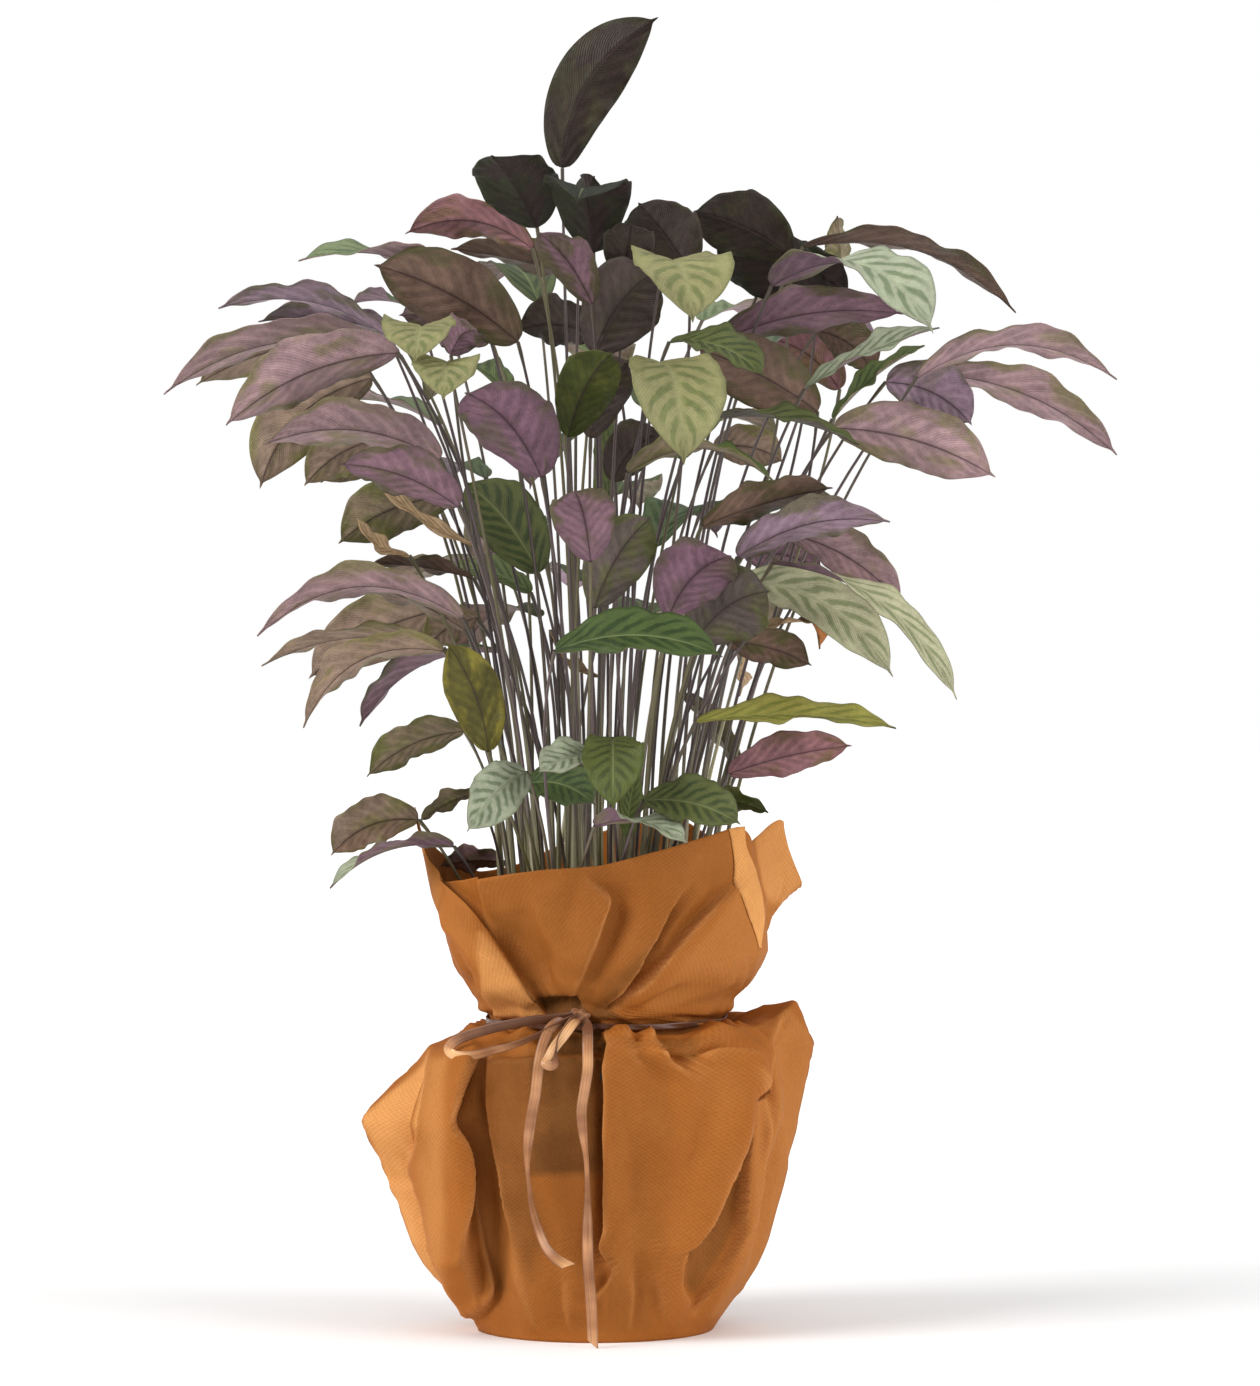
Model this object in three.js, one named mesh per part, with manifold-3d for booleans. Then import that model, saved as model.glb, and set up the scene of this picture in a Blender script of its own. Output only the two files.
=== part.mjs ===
// A tall prayer plant with long dark leaf stalks, in a nursery pot wrapped in one sheet of
// non-woven gift cloth that a satin ribbon gathers at the neck.
// Millimetres, +Z up. The origin is the middle of the wrap's flat bottom, -Y is the front.
import * as THREE from 'three';
import { mergeVertices } from 'three/addons/utils/BufferGeometryUtils.js';
import Module from 'manifold-3d';

const wasm = await Module();
wasm.setup();

// ---- driving dimensions ----
const eye = { x: 24, z: 427, distance: 3200 };      // front elevations are drawn from this point
const pot = { height: 184, foot: 73, rim: 101, wall: 1.8, floor: 1.6, lip: 9, sides: 24 };
const soil = { top: 166, hole: 8.6, holeDepth: 16, sides: 24 };
const sheet = { thickness: 1.2, foot: 80 };
const ribbon = { width: 7.1, thickness: 0.9, neckLow: 204.4, neckHigh: 211.6, gap: 0.4 };
const clump = {
  shoots: 36, radius: 62, perShoot: 4, ring: 3.7, reach: 0.3, rootDepth: 12, root: 6.9, rootHeight: 7,
};
const stalk = { foot: 2.4, neck: 1.5, sheathEnd: 0.42, lean: 0.12, steps: 5 };
const blade = { thickness: 0.8, rib: 0.9, cup: 9, wave: 2.2, waves: 2.3, longLeaf: 120 };
const clearance = { step: 9, tries: 11, gap: 1.1, sibling: 0.3, choices: 9, swap: 2.5 };

const colours = {
  pot: 0x2c2a29, soil: 0x3a2a20, wrap: 0xb06a2e, ribbon: 0x97603a,
  leafTop: 0x7f9a73, leafUnder: 0x6c5361, leafOlive: 0x6a6b45, leafDark: 0x3f3b38,
};

// ---- solids ----
function bareOf(geometry) {
  const bare = geometry.clone();
  bare.deleteAttribute('normal');
  bare.deleteAttribute('uv');
  return bare;
}

function solidOf(geometry) {
  const merged = mergeVertices(bareOf(geometry), 1e-4);
  const mesh = new wasm.Mesh({
    numProp: 3,
    vertProperties: new Float32Array(merged.attributes.position.array),
    triVerts: new Uint32Array(merged.index.array),
  });
  return new wasm.Manifold(mesh);
}

function geometryOf(solid) {
  const { vertProperties, triVerts } = solid.getMesh();
  const geometry = new THREE.BufferGeometry();
  geometry.setAttribute('position', new THREE.BufferAttribute(vertProperties, 3));
  geometry.setIndex(new THREE.BufferAttribute(triVerts, 1));
  return geometry;
}

function meshOf(name, geometry, colour, roughness) {
  const shaded = geometry.clone();
  shaded.computeVertexNormals();
  const material = new THREE.MeshStandardMaterial({ color: colour, roughness, metalness: 0 });
  const mesh = new THREE.Mesh(shaded, material);
  mesh.name = name;
  return mesh;
}

function indexed(points, triangles) {
  const geometry = new THREE.BufferGeometry().setFromPoints(points);
  geometry.setIndex(triangles);
  return geometry;
}

// A place in the front elevation (x across, z up) at a depth y, as a point in space.
function fromElevation(x, z, y) {
  const k = 1 + y / eye.distance;
  return new THREE.Vector3(eye.x + (x - eye.x) * k, y, eye.z + (z - eye.z) * k);
}

// ---- leaves ----
// One row a leaf: joint x, z, y, tip x, z, y in the elevation, arch height, width, and how far
// the upper face is turned towards the front, in degrees, at the joint and at the tip.
const leaves = [
  // the crown
  [-22, 781, -10, 43, 883, -20, 17, 48, -80, -80],
  [-39, 741, -60, -70, 790, -130, 5, 58, -20, 0],
  [-1, 724, -30, -12, 758, -110, 25, 60, 0, 10],
  [64, 712, -20, 29, 758, -90, 2, 50, -30, -20],
  [20, 705, -60, 25, 744, -110, 4, 36, -10, -10],
  [-2, 690, -60, -38, 738, -130, 6, 34, -25, -15],
  [-10, 740, 30, 0, 776, 0, 4, 30, -60, -60],
  [-42, 727, -10, -128, 737, 10, 14, 44, -50, -50],
  [132, 722, 30, 66, 752, -20, 5, 50, -55, -55],
  [150, 692, 30, 80, 730, -10, 5, 55, -55, -50],
  [112, 702, 60, 172, 694, 40, 12, 48, -50, -50],
  [0, 703, 40, -97, 727, 40, 4, 44, -24, -22],
  // the pale young leaves in front
  [42, 650, -130, 60, 581, -205, 24, 65, 0, 0],
  [45, 714, -120, 66, 677, -195, 20, 68, 0, 0],
  [50, 664, -100, 114, 641, -125, 9, 40, 20, 35],
  [-115, 673, -120, -121, 651, -180, 10, 50, 0, 0],
  [-98, 648, -140, -102, 625, -190, 12, 46, 0, 0],
  [-18, 600, -110, 12, 657, -165, 8, 40, -35, -35],
  [-3, 599, -90, 24, 652, -125, 8, 32, -50, -50],
  [0, 656, -60, 42, 712, -105, 8, 56, -55, -55],
  // upper left fan
  [-131, 655, -30, -291, 629, -45, 22, 52, -22, -22],
  [-133, 657, -70, -249, 608, -100, 11, 56, -48, -48],
  [-140, 668, 5, -254, 687, 5, 15, 46, -16, -14],
  [-165, 664, 50, -269, 635, 60, 9, 46, -38, -38],
  [-76, 684, -45, -200, 719, -85, 20, 46, -32, 28],
  [-52, 664, -20, -149, 716, -60, 7, 56, -58, -58],
  [-132, 668, 50, -227, 678, 60, 7, 44, -20, -20],
  [-70, 665, 40, -132, 682, 50, 6, 48, -60, -60],
  [-97, 655, -60, -79, 672, -90, 6, 30, -40, -40],
  [0, 668, 60, -52, 672, 70, 6, 44, -50, -50],
  // upper right fan
  [217, 640, -20, 352, 639, -30, 23, 46, -20, -20],
  [222, 643, 25, 352, 588, 30, 14, 44, -34, -34],
  [140, 728, 40, 284, 684, 45, 21, 44, -13, -11],
  [119, 702, -40, 228, 670, -110, 30, 62, -40, 42],
  [82, 664, -20, 208, 683, -40, 10, 42, -45, -42],
  [161, 606, -40, 270, 573, -60, 8, 50, -65, -65],
  [150, 617, -20, 68, 660, -70, 4, 50, -60, -60],
  [141, 632, -80, 232, 674, -100, 5, 34, 22, 30],
  [160, 612, -30, 222, 662, -40, 5, 36, 20, 20],
  [196, 637, 20, 254, 608, 20, 8, 46, -60, -60],
  [150, 672, 40, 188, 643, 40, 6, 38, -50, -50],
  [165, 632, 90, 112, 668, 80, 8, 40, -50, -50],
  [165, 700, 80, 163, 749, 60, 5, 32, -60, -60],
  [72, 612, -60, 178, 595, -80, 9, 44, 7, 12],
  // middle left
  [-36, 573, -130, -88, 630, -195, 10, 60, -25, -25],
  [-104, 585, -60, -224, 595, -95, 15, 52, -34, -34],
  [-92, 553, -90, -172, 582, -125, 7, 46, -38, -38],
  [-150, 640, 40, -226, 565, 50, 16, 50, -65, -65],
  [-130, 600, 10, -196, 567, 20, 9, 40, -60, -60],
  [-120, 590, 50, -185, 569, 60, 8, 38, -60, -60],
  [-95, 560, 0, -173, 528, 0, 8, 46, -65, -65],
  [-89, 478, -60, -228, 466, -85, 27, 46, -28, -25],
  [-82, 505, -20, -152, 515, -25, 3, 26, -20, -20],
  [-87, 470, -30, -162, 503, -40, 4, 34, -30, -30],
  [-95, 485, 40, -193, 437, 50, 9, 50, -65, -65],
  [-102, 458, -40, -225, 446, -45, 13, 34, -18, -15],
  [-102, 456, -55, -197, 404, -70, 21, 44, -30, -30],
  [-72, 388, -60, -100, 461, -75, 6, 38, -68, -68],
  [-88, 402, -30, -154, 371, -40, 7, 34, -55, -55],
  [-80, 478, 20, -114, 456, 20, 5, 30, -60, -60],
  // middle, in front of the stalks
  [-3, 516, -130, -14, 564, -185, 8, 44, -15, -10],
  [0, 485, -90, 38, 546, -140, 7, 44, -40, -40],
  [50, 480, -100, 92, 520, -150, 9, 54, -35, -30],
  [-27, 456, -170, 86, 452, -190, 12, 44, 42, 42],
  [68, 462, -80, 118, 496, -125, 8, 58, -60, -60],
  [-38, 508, 20, -88, 570, 60, 6, 50, 45, 45],
  [-43, 495, 50, -100, 512, 70, 6, 26, 40, 40],
  [22, 576, -60, 121, 570, -100, 19, 40, -20, 5],
  [12, 570, -80, 48, 603, -115, 8, 38, -40, -40],
  [8, 545, 30, 12, 617, 50, 6, 30, -50, -50],
  [80, 592, 60, 127, 583, 60, 6, 32, -70, -70],
  // middle right
  [96, 519, -60, 199, 543, -90, 11, 42, -38, -35],
  [130, 535, 20, 207, 487, 5, 8, 38, -60, -60],
  [120, 515, -60, 244, 423, -120, 22, 32, -15, 42],
  [90, 502, -90, 201, 438, -160, 20, 42, 45, 50],
  [72, 540, -40, 160, 566, -30, 3, 38, -42, -40],
  [100, 520, 50, 153, 508, 50, 7, 40, -60, -60],
  [140, 497, 10, 152, 457, -10, 4, 28, -45, -45],
  [88, 462, 0, 146, 446, 0, 4, 32, -60, -60],
  [68, 408, -60, 203, 404, -75, 7, 40, 25, 22],
  [90, 373, -10, 173, 392, -20, 3, 34, -60, -60],
  [96, 376, 40, 57, 428, 50, 5, 28, -50, -50],
  [105, 468, -20, 156, 475, -25, 4, 12, 15, 15],
  // low leaves over the collar
  [5, 386, -110, -38, 374, -155, 4, 32, 30, 35],
  [12, 397, -120, 12, 349, -180, 12, 42, 0, 0],
  [-48, 366, -120, 0, 352, -150, 7, 36, 45, 50],
  [-46, 374, -110, -86, 334, -175, 6, 36, 55, 60],
  [33, 355, -140, 98, 339, -170, 6, 40, 45, 50],
  [70, 355, -60, 117, 347, -75, 3, 22, -45, -45],
  [0, 338, -110, 62, 326, -165, 9, 32, -30, 30],
  [-119, 342, -20, -178, 318, -30, 9, 40, -60, -60],
  [-95, 324, -40, -179, 296, -55, 12, 40, -25, 10],
  [-80, 360, -20, -118, 341, -30, 3, 20, -45, -45],
  [22, 330, -60, 29, 375, -50, 3, 18, 60, 60],
  [-62, 314, 30, -104, 311, 35, 2, 24, -50, -50],
  [102, 326, 20, 130, 290, 25, 1, 22, -60, -60],
  // withered leaves hanging in the clump
  [-125, 520, -20, -160, 545, -40, -6, 14, 30, 80],
  [-82, 527, -50, -150, 575, -60, -5, 12, 40, 60],
  [-30, 470, -60, 5, 438, -50, -8, 16, 40, -40],
  [95, 460, 60, 98, 425, 50, 5, 28, -60, -60],
];

// Leaves of the side away from the viewer, spread by a fixed turn from one to the next.
const backLeaves = { count: 21, turn: 0.618, from: 204, sweep: 132, low: 455, high: 690 };

function backRows() {
  const rows = [];
  for (let i = 0; i < backLeaves.count; i += 1) {
    const share = (i * backLeaves.turn) % 1;
    const way = THREE.MathUtils.degToRad(backLeaves.from + share * backLeaves.sweep);
    const level = i / (backLeaves.count - 1);
    const height = backLeaves.low + (backLeaves.high - backLeaves.low) * level;
    const inner = 70 + 60 * level + 12 * Math.sin(i * 2.1);
    const length = 104 + 18 * Math.sin(i * 1.7);
    const drop = 26 + 24 * Math.cos(i * 2.6) - 30 * level;
    const out = [Math.cos(way), -Math.sin(way)];
    const tip = inner + length;
    rows.push([
      out[0] * inner, height, out[1] * inner, out[0] * tip, height - drop, out[1] * tip,
      18 + 6 * Math.sin(i * 1.3), 50 + 6 * Math.cos(i * 1.9), 0, 12 * Math.sin(i * 2.3),
    ]);
  }
  return rows;
}

// The middle surface of a blade: its midrib, and the directions along and across it.
function bladeForm(row, slide) {
  const [jx, jz, jy, tx, tz, ty, arch, width, faceJoint, faceTip] = row;
  const joint = fromElevation(jx, jz, jy + slide);
  const tip = fromElevation(tx, tz, ty + slide);
  const chord = tip.clone().sub(joint);
  const length = chord.length();
  chord.normalize();
  const rise = new THREE.Vector3(0, 0, 1).addScaledVector(chord, -chord.z).normalize();
  const side = new THREE.Vector3().crossVectors(chord, rise);
  if (side.y > 0) side.negate();
  const crest = joint.clone().add(tip).multiplyScalar(0.5).addScaledVector(rise, 2 * arch);
  const midrib = new THREE.QuadraticBezierCurve3(joint, crest, tip);
  return { joint, tip, midrib, side, rise, length, width, faceJoint, faceTip };
}

function halfWidth(form, t) {
  return (0.5 * form.width * t ** 0.42 * (1 - t ** 4)) / 0.707;
}

// Directions of the blade at t along its midrib: along it, out of its upper face, and across.
function bladeAxes(form, t) {
  const along = form.midrib.getTangent(t);
  const up = form.rise.clone().addScaledVector(along, -form.rise.dot(along)).normalize();
  const turn = THREE.MathUtils.degToRad(form.faceJoint + (form.faceTip - form.faceJoint) * t);
  const face = up.multiplyScalar(Math.cos(turn)).addScaledVector(form.side, Math.sin(turn));
  return { along, face, over: new THREE.Vector3().crossVectors(face, along) };
}

// A point of the blade at t along the midrib, across from -1 to 1, raised by lift.
function bladePoint(form, t, across, lift, phase) {
  const { face, over } = bladeAxes(form, t);
  const half = halfWidth(form, t) * Math.abs(across);
  const cup = THREE.MathUtils.degToRad(blade.cup);
  const ripple = Math.sin((blade.waves * t + phase + 0.25 * Math.sign(across)) * 2 * Math.PI);
  const wave = blade.wave * across * across * ripple * Math.sin(Math.PI * t);
  const point = form.midrib.getPoint(t);
  point.addScaledVector(over, half * Math.cos(cup) * Math.sign(across));
  return point.addScaledVector(face, half * Math.sin(cup) + wave + lift);
}

// A closed mesh with its faces turned out, as a solid.
function outwards(geometry) {
  const solid = solidOf(geometry);
  if (solid.volume() > 0) return solid;
  const turned = mergeVertices(bareOf(geometry), 1e-4);
  const order = Array.from(turned.index.array);
  for (let i = 0; i < order.length; i += 3) [order[i], order[i + 1]] = [order[i + 1], order[i]];
  turned.setIndex(order);
  return solidOf(turned);
}

// The stalk rises straight out of the soil and bends over to the blade's joint.
function stalkCurve(foot, form) {
  const end = form.joint;
  const climb = end.z - foot.z;
  const low = new THREE.Vector3(
    foot.x + stalk.lean * (end.x - foot.x), foot.y + stalk.lean * (end.y - foot.y), foot.z + 0.45 * climb);
  const lean = end.clone().sub(low).normalize();
  const along = form.midrib.getTangent(0);
  const arrive = lean.multiplyScalar(0.75).addScaledVector(along, 0.25).normalize();
  const high = end.clone().addScaledVector(arrive, -0.3 * climb);
  return new THREE.CubicBezierCurve3(foot, low, high, end);
}

function stalkRadius(share) {
  const taper = Math.min(share / stalk.sheathEnd, 1);
  return stalk.foot + (stalk.neck - stalk.foot) * taper;
}

// Rings of three points up the stalk, with the flat of its section turned like the blade's face.
function stalkRings(foot, form) {
  const curve = stalkCurve(foot, form);
  const rings = [];
  let { over } = bladeAxes(form, 0);
  for (let k = stalk.steps; k >= 0; k -= 1) {
    const share = k / stalk.steps;
    const along = curve.getTangentAt(share);
    over = over.clone().addScaledVector(along, -over.dot(along)).normalize();
    const face = new THREE.Vector3().crossVectors(along, over);
    const centre = curve.getPointAt(share);
    const radius = stalkRadius(share);
    rings.unshift([30, 150, 270].map((angle) => {
      const turn = THREE.MathUtils.degToRad(angle);
      return centre.clone().addScaledVector(over, radius * Math.cos(turn))
        .addScaledVector(face, radius * Math.sin(turn));
    }));
  }
  return rings;
}

// Rings of six points along the blade: right, middle and left above, and back again below.
function bladeRings(form, phase) {
  const stations = form.length > blade.longLeaf ? [0.1, 0.28, 0.5, 0.72, 0.9] : [0.14, 0.4, 0.68, 0.9];
  const half = blade.thickness / 2;
  return stations.map((t) => [
    bladePoint(form, t, 1, half, phase), bladePoint(form, t, 0, half, phase),
    bladePoint(form, t, -1, half, phase), bladePoint(form, t, -1, -half, phase),
    bladePoint(form, t, 0, -half - blade.rib * (1 - t), phase), bladePoint(form, t, 1, -half, phase),
  ]);
}

function leafSolid(foot, form, phase) {
  const stem = stalkRings(foot, form);
  const leaf = bladeRings(form, phase);
  const points = [...stem.flat(), ...leaf.flat(), form.tip];
  const triangles = [0, 2, 1];
  for (let k = 0; k + 1 < stem.length; k += 1) {
    for (let j = 0; j < 3; j += 1) {
      const [a, b] = [3 * k + j, 3 * k + ((j + 1) % 3)];
      triangles.push(a, b, b + 3, a, b + 3, a + 3);
    }
  }
  const neck = 3 * (stem.length - 1);
  const first = neck + 3;
  const collar = [
    [0, 1, 7], [0, 7, 6], [0, 6, 11], [1, 8, 7], [1, 9, 8], [1, 2, 9], [2, 10, 9], [2, 11, 10], [2, 0, 11],
  ];
  for (const corner of collar) triangles.push(...corner.map((n) => (n < 6 ? neck + n : first + n - 6)));
  for (let k = 0; k + 1 < leaf.length; k += 1) {
    for (let j = 0; j < 6; j += 1) {
      const [a, b] = [first + 6 * k + j, first + 6 * k + ((j + 1) % 6)];
      if (j < 3) triangles.push(a, b, b + 6, a, b + 6, a + 6);
      else triangles.push(a, b, a + 6, b, b + 6, a + 6);
    }
  }
  const last = first + 6 * (leaf.length - 1);
  for (let j = 0; j < 6; j += 1) triangles.push(last + j, last + ((j + 1) % 6), points.length - 1);
  return outwards(indexed(points, triangles));
}

// ---- shoots ----
function shootSpot(index) {
  const radius = clump.radius * Math.sqrt((index + 0.5) / clump.shoots);
  const turn = index * Math.PI * (3 - Math.sqrt(5));
  return new THREE.Vector2(radius * Math.cos(turn), radius * Math.sin(turn));
}

function stalkFoot(spot, order) {
  const turn = (order * Math.PI) / 2 + 0.6;
  const z = soil.top - clump.rootDepth;
  return new THREE.Vector3(
    spot.x + clump.ring * Math.cos(turn), spot.y + clump.ring * Math.sin(turn), z);
}

// The shoots with room for one more leaf, nearest first.
function openShoots(shoots, form) {
  const wish = new THREE.Vector2(form.joint.x, form.joint.y).multiplyScalar(clump.reach);
  const open = shoots.filter((shoot) => shoot.leaves.length < clump.perShoot);
  open.sort((a, b) => a.spot.distanceTo(wish) - b.spot.distanceTo(wish));
  return open.slice(0, clearance.choices);
}

function boxesApart(a, b, gap) {
  for (let i = 0; i < 3; i += 1) {
    if (a.min[i] > b.max[i] + gap || b.min[i] > a.max[i] + gap) return true;
  }
  return false;
}

// How much of the wanted gap to everything placed so far is left over; below 0 it falls short.
function spareGap(solid, shoot, placed) {
  const box = solid.boundingBox();
  let least = 0;
  for (const other of placed) {
    const wanted = other.shoot === shoot ? clearance.sibling : clearance.gap;
    if (boxesApart(box, other.box, wanted)) continue;
    least = Math.min(least, solid.minGap(other.solid, wanted) - wanted);
    if (least <= -clearance.gap) break;
  }
  return least;
}

// A leaf keeps its place in the elevation and moves back or forward until it touches nothing.
function growLeaves(obstacles) {
  const shoots = [];
  for (let i = 0; i < clump.shoots; i += 1) shoots.push({ spot: shootSpot(i), leaves: [] });
  const placed = obstacles.map((solid) => ({ solid, box: solid.boundingBox(), shoot: null }));
  [...leaves, ...backRows()].forEach((row, index) => {
    const phase = (index * 0.37) % 1;
    const choices = [];
    openShoots(shoots, bladeForm(row, 0)).forEach((shoot, rank) => {
      for (let n = -clearance.tries; n <= clearance.tries; n += 1) {
        choices.push({ shoot, slide: clearance.step * n, cost: Math.abs(n) + clearance.swap * rank });
      }
    });
    choices.sort((a, b) => a.cost - b.cost);
    let best = null;
    for (const { shoot, slide } of choices) {
      const foot = stalkFoot(shoot.spot, shoot.leaves.length);
      const solid = leafSolid(foot, bladeForm(row, slide), phase);
      const spare = spareGap(solid, shoot, placed);
      if (!best || spare > best.spare) best = { shoot, slide, solid, spare, row: index };
      if (spare >= 0) break;
    }
    placed.push({ solid: best.solid, box: best.solid.boundingBox(), shoot: best.shoot });
    best.shoot.leaves.push(best);
  });
  return shoots.filter((shoot) => shoot.leaves.length > 0);
}

// The stalks of one shoot stand in a short piece of rootstock below the soil's surface.
function shootSolid(shoot) {
  const low = soil.top - soil.holeDepth + 0.5;
  const { x, y } = shoot.spot;
  const root = cylinder(clump.root, low, low + clump.rootHeight, x, y, 6);
  return shoot.leaves.reduce((whole, leaf) => whole.add(leaf.solid), root);
}

// ---- the wrap ----
// One row a fold line, from the left round the front to the back. Each pair is the direction
// (degrees, 0 in front, 90 to the right) and the radius, at the heights below; the shoulder,
// the top of the shoulder and the rim have a height of their own.
const foldHeights = [40, 90, 140];
const folds = [
  // z 40        z 90        z 140       shoulder         over the rim     neck        collar      edge
  [[-96, 117], [-97, 139], [-98, 157], [-97, 112, 187], [-94, 93, 198], [-90, 72], [-92, 98], [-100, 121, 335]],
  [[-82, 98], [-81, 108], [-79, 119], [-80, 108, 185], [-78, 92, 197], [-75, 74], [-78, 101], [-93, 121, 349]],
  [[-74, 103], [-71, 119], [-69, 132], [-70, 115, 184], [-65, 98, 198], [-58, 77], [-64, 106], [-84, 116, 332]],
  [[-63, 100], [-59, 121], [-57, 137], [-58, 118, 184], [-50, 100, 199], [-42, 80], [-52, 109], [-76, 112, 315]],
  [[-54, 95], [-51, 110], [-48, 124], [-45, 112, 185], [-36, 100, 200], [-28, 83], [-40, 109], [-68, 108, 302]],
  [[-47, 86], [-46, 94], [-44, 102], [-40, 104, 185], [-29, 96, 199], [-18, 80], [-30, 92], [-60, 106, 303]],
  [[-34, 90], [-32, 97], [-30, 105], [-28, 108, 186], [-19, 100, 200], [-12, 82], [-18, 98], [-40, 110, 306]],
  [[-14, 91], [-13, 98], [-12, 105], [-12, 109, 187], [-9, 101, 201], [-6, 84], [-6, 104], [-18, 112, 312]],
  [[3, 88], [3, 95], [3, 101], [2, 105, 188], [1, 99, 201], [0, 84], [8, 108], [2, 114, 315]],
  [[7, 93], [7, 101], [7, 108], [6, 111, 190], [6, 104, 203], [5, 86], [20, 110], [20, 116, 324]],
  [[22, 92], [25, 102], [28, 111], [30, 117, 190], [26, 106, 203], [22, 86], [38, 114], [40, 117, 334]],
  [[38, 96], [42, 110], [48, 124], [56, 128, 190], [50, 112, 205], [44, 88], [54, 122], [56, 117, 339]],
  [[47, 88], [52, 99], [57, 110], [66, 121, 189], [62, 108, 204], [58, 88], [68, 122], [66, 116, 325]],
  [[66, 104], [70, 117], [73, 129], [76, 127, 192], [74, 114, 206], [72, 88], [82, 116], [82, 106, 322]],
  [[80, 101], [82, 115], [84, 125], [85, 133, 194], [85, 120, 208], [84, 88], [92, 113], [98, 106, 326]],
  [[95, 110], [95, 126], [95, 139], [94, 145, 190], [95, 132, 215], [96, 88], [103, 116], [106, 129, 338]],
  [[114, 94], [114, 106], [114, 116], [112, 118, 188], [113, 104, 203], [114, 84], [115, 118], [113, 151, 296]],
  [[134, 104], [134, 121], [135, 134], [134, 122, 185], [134, 104, 200], [134, 82], [134, 112], [130, 122, 318]],
  [[154, 90], [154, 99], [154, 107], [154, 108, 185], [154, 98, 199], [154, 80], [153, 108], [150, 116, 340]],
  [[174, 101], [174, 115], [175, 126], [174, 117, 184], [174, 100, 199], [174, 79], [174, 108], [172, 114, 334]],
  [[192, 90], [192, 98], [192, 105], [192, 107, 184], [192, 96, 198], [192, 78], [192, 106], [192, 112, 322]],
  [[211, 102], [211, 118], [211, 130], [211, 118, 184], [211, 99, 198], [210, 77], [211, 106], [210, 112, 308]],
  [[229, 91], [229, 101], [229, 109], [229, 107, 184], [229, 94, 198], [228, 75], [229, 103], [226, 112, 304]],
  [[243, 104], [243, 120], [244, 132], [244, 114, 184], [244, 94, 198], [244, 73], [245, 100], [241, 114, 312]],
  [[254, 106], [253, 121], [253, 132], [253, 108, 185], [254, 92, 198], [257, 72], [257, 99], [252, 118, 324]],
];
const collarHeight = 255;

// Rings of the sheet from the floor up, each a fold line's [direction, radius, height].
function foldRings(fold) {
  const [a, b, c, shoulder, over, neck, collar, edge] = fold;
  return [
    [a[0], sheet.foot, 0],
    [a[0], a[1], foldHeights[0]],
    [b[0], b[1], foldHeights[1]],
    [c[0], c[1], foldHeights[2]],
    shoulder, over,
    [neck[0], neck[1], ribbon.neckLow - 0.6],
    [neck[0], neck[1], ribbon.neckHigh + 0.6],
    [collar[0], collar[1], collarHeight],
    edge,
  ];
}

function smooth(a, b, c, d, t) {
  return b + 0.5 * t * (c - a + t * (2 * a - 5 * b + 4 * c - d + t * (3 * (b - c) + d - a)));
}

// The sheet's surface at u fold lines round and v rings up.
function wrapPoint(u, v) {
  const count = folds.length;
  const lower = Math.floor(u);
  const lines = [-1, 0, 1, 2].map((step) => {
    const at = lower + step;
    const lap = Math.floor(at / count);
    const rings = foldRings(folds[at - lap * count]);
    const last = rings.length - 1;
    const low = Math.min(Math.floor(v), last - 1);
    const [a, b, c, d] = [low - 1, low, low + 1, low + 2].map((k) => rings[Math.min(Math.max(k, 0), last)]);
    const ring = [0, 1, 2].map((i) => smooth(a[i], b[i], c[i], d[i], v - low));
    ring[0] += 360 * lap;
    return ring;
  });
  const [turn, radius, height] = [0, 1, 2].map(
    (i) => smooth(lines[0][i], lines[1][i], lines[2][i], lines[3][i], u - lower));
  const way = THREE.MathUtils.degToRad(turn);
  return new THREE.Vector3(radius * Math.sin(way), -radius * Math.cos(way), height);
}

function wrapNormal(u, v) {
  const nudge = 0.02;
  const round = wrapPoint(u + nudge, v).sub(wrapPoint(u - nudge, v));
  const up = wrapPoint(u, Math.min(v + nudge, 9)).sub(wrapPoint(u, Math.max(v - nudge, 0)));
  return round.cross(up).normalize();
}

function makeWrap() {
  const levels = [0, 1, 2, 3, 3.5, 4, 5, 6, 7, 8, 8.5, 9];
  const around = folds.length * 2;
  const points = [];
  const rings = [[], []];
  for (const v of levels) {
    const pair = [[], []];
    for (let i = 0; i < around; i += 1) {
      const u = i / 2;
      const outer = wrapPoint(u, v);
      const inner = outer.clone().addScaledVector(wrapNormal(u, v), -sheet.thickness);
      if (v === 0) inner.z = sheet.thickness;
      pair[0].push(points.push(outer) - 1);
      pair[1].push(points.push(inner) - 1);
    }
    rings[0].push(pair[0]);
    rings[1].push(pair[1]);
  }
  const under = points.push(new THREE.Vector3(0, 0, 0)) - 1;
  const inside = points.push(new THREE.Vector3(0, 0, sheet.thickness)) - 1;
  const triangles = [];
  for (let i = 0; i < around; i += 1) {
    const j = (i + 1) % around;
    for (let k = 0; k + 1 < levels.length; k += 1) {
      const [a, b, c, d] = [rings[0][k][i], rings[0][k][j], rings[0][k + 1][j], rings[0][k + 1][i]];
      triangles.push(a, b, c, a, c, d);
      const [e, f, g, h] = [rings[1][k][i], rings[1][k][j], rings[1][k + 1][j], rings[1][k + 1][i]];
      triangles.push(e, g, f, e, h, g);
    }
    const top = levels.length - 1;
    triangles.push(rings[0][top][i], rings[0][top][j], rings[1][top][j]);
    triangles.push(rings[0][top][i], rings[1][top][j], rings[1][top][i]);
    triangles.push(under, rings[0][0][j], rings[0][0][i]);
    triangles.push(inside, rings[1][0][i], rings[1][0][j]);
  }
  return outwards(indexed(points, triangles));
}

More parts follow.
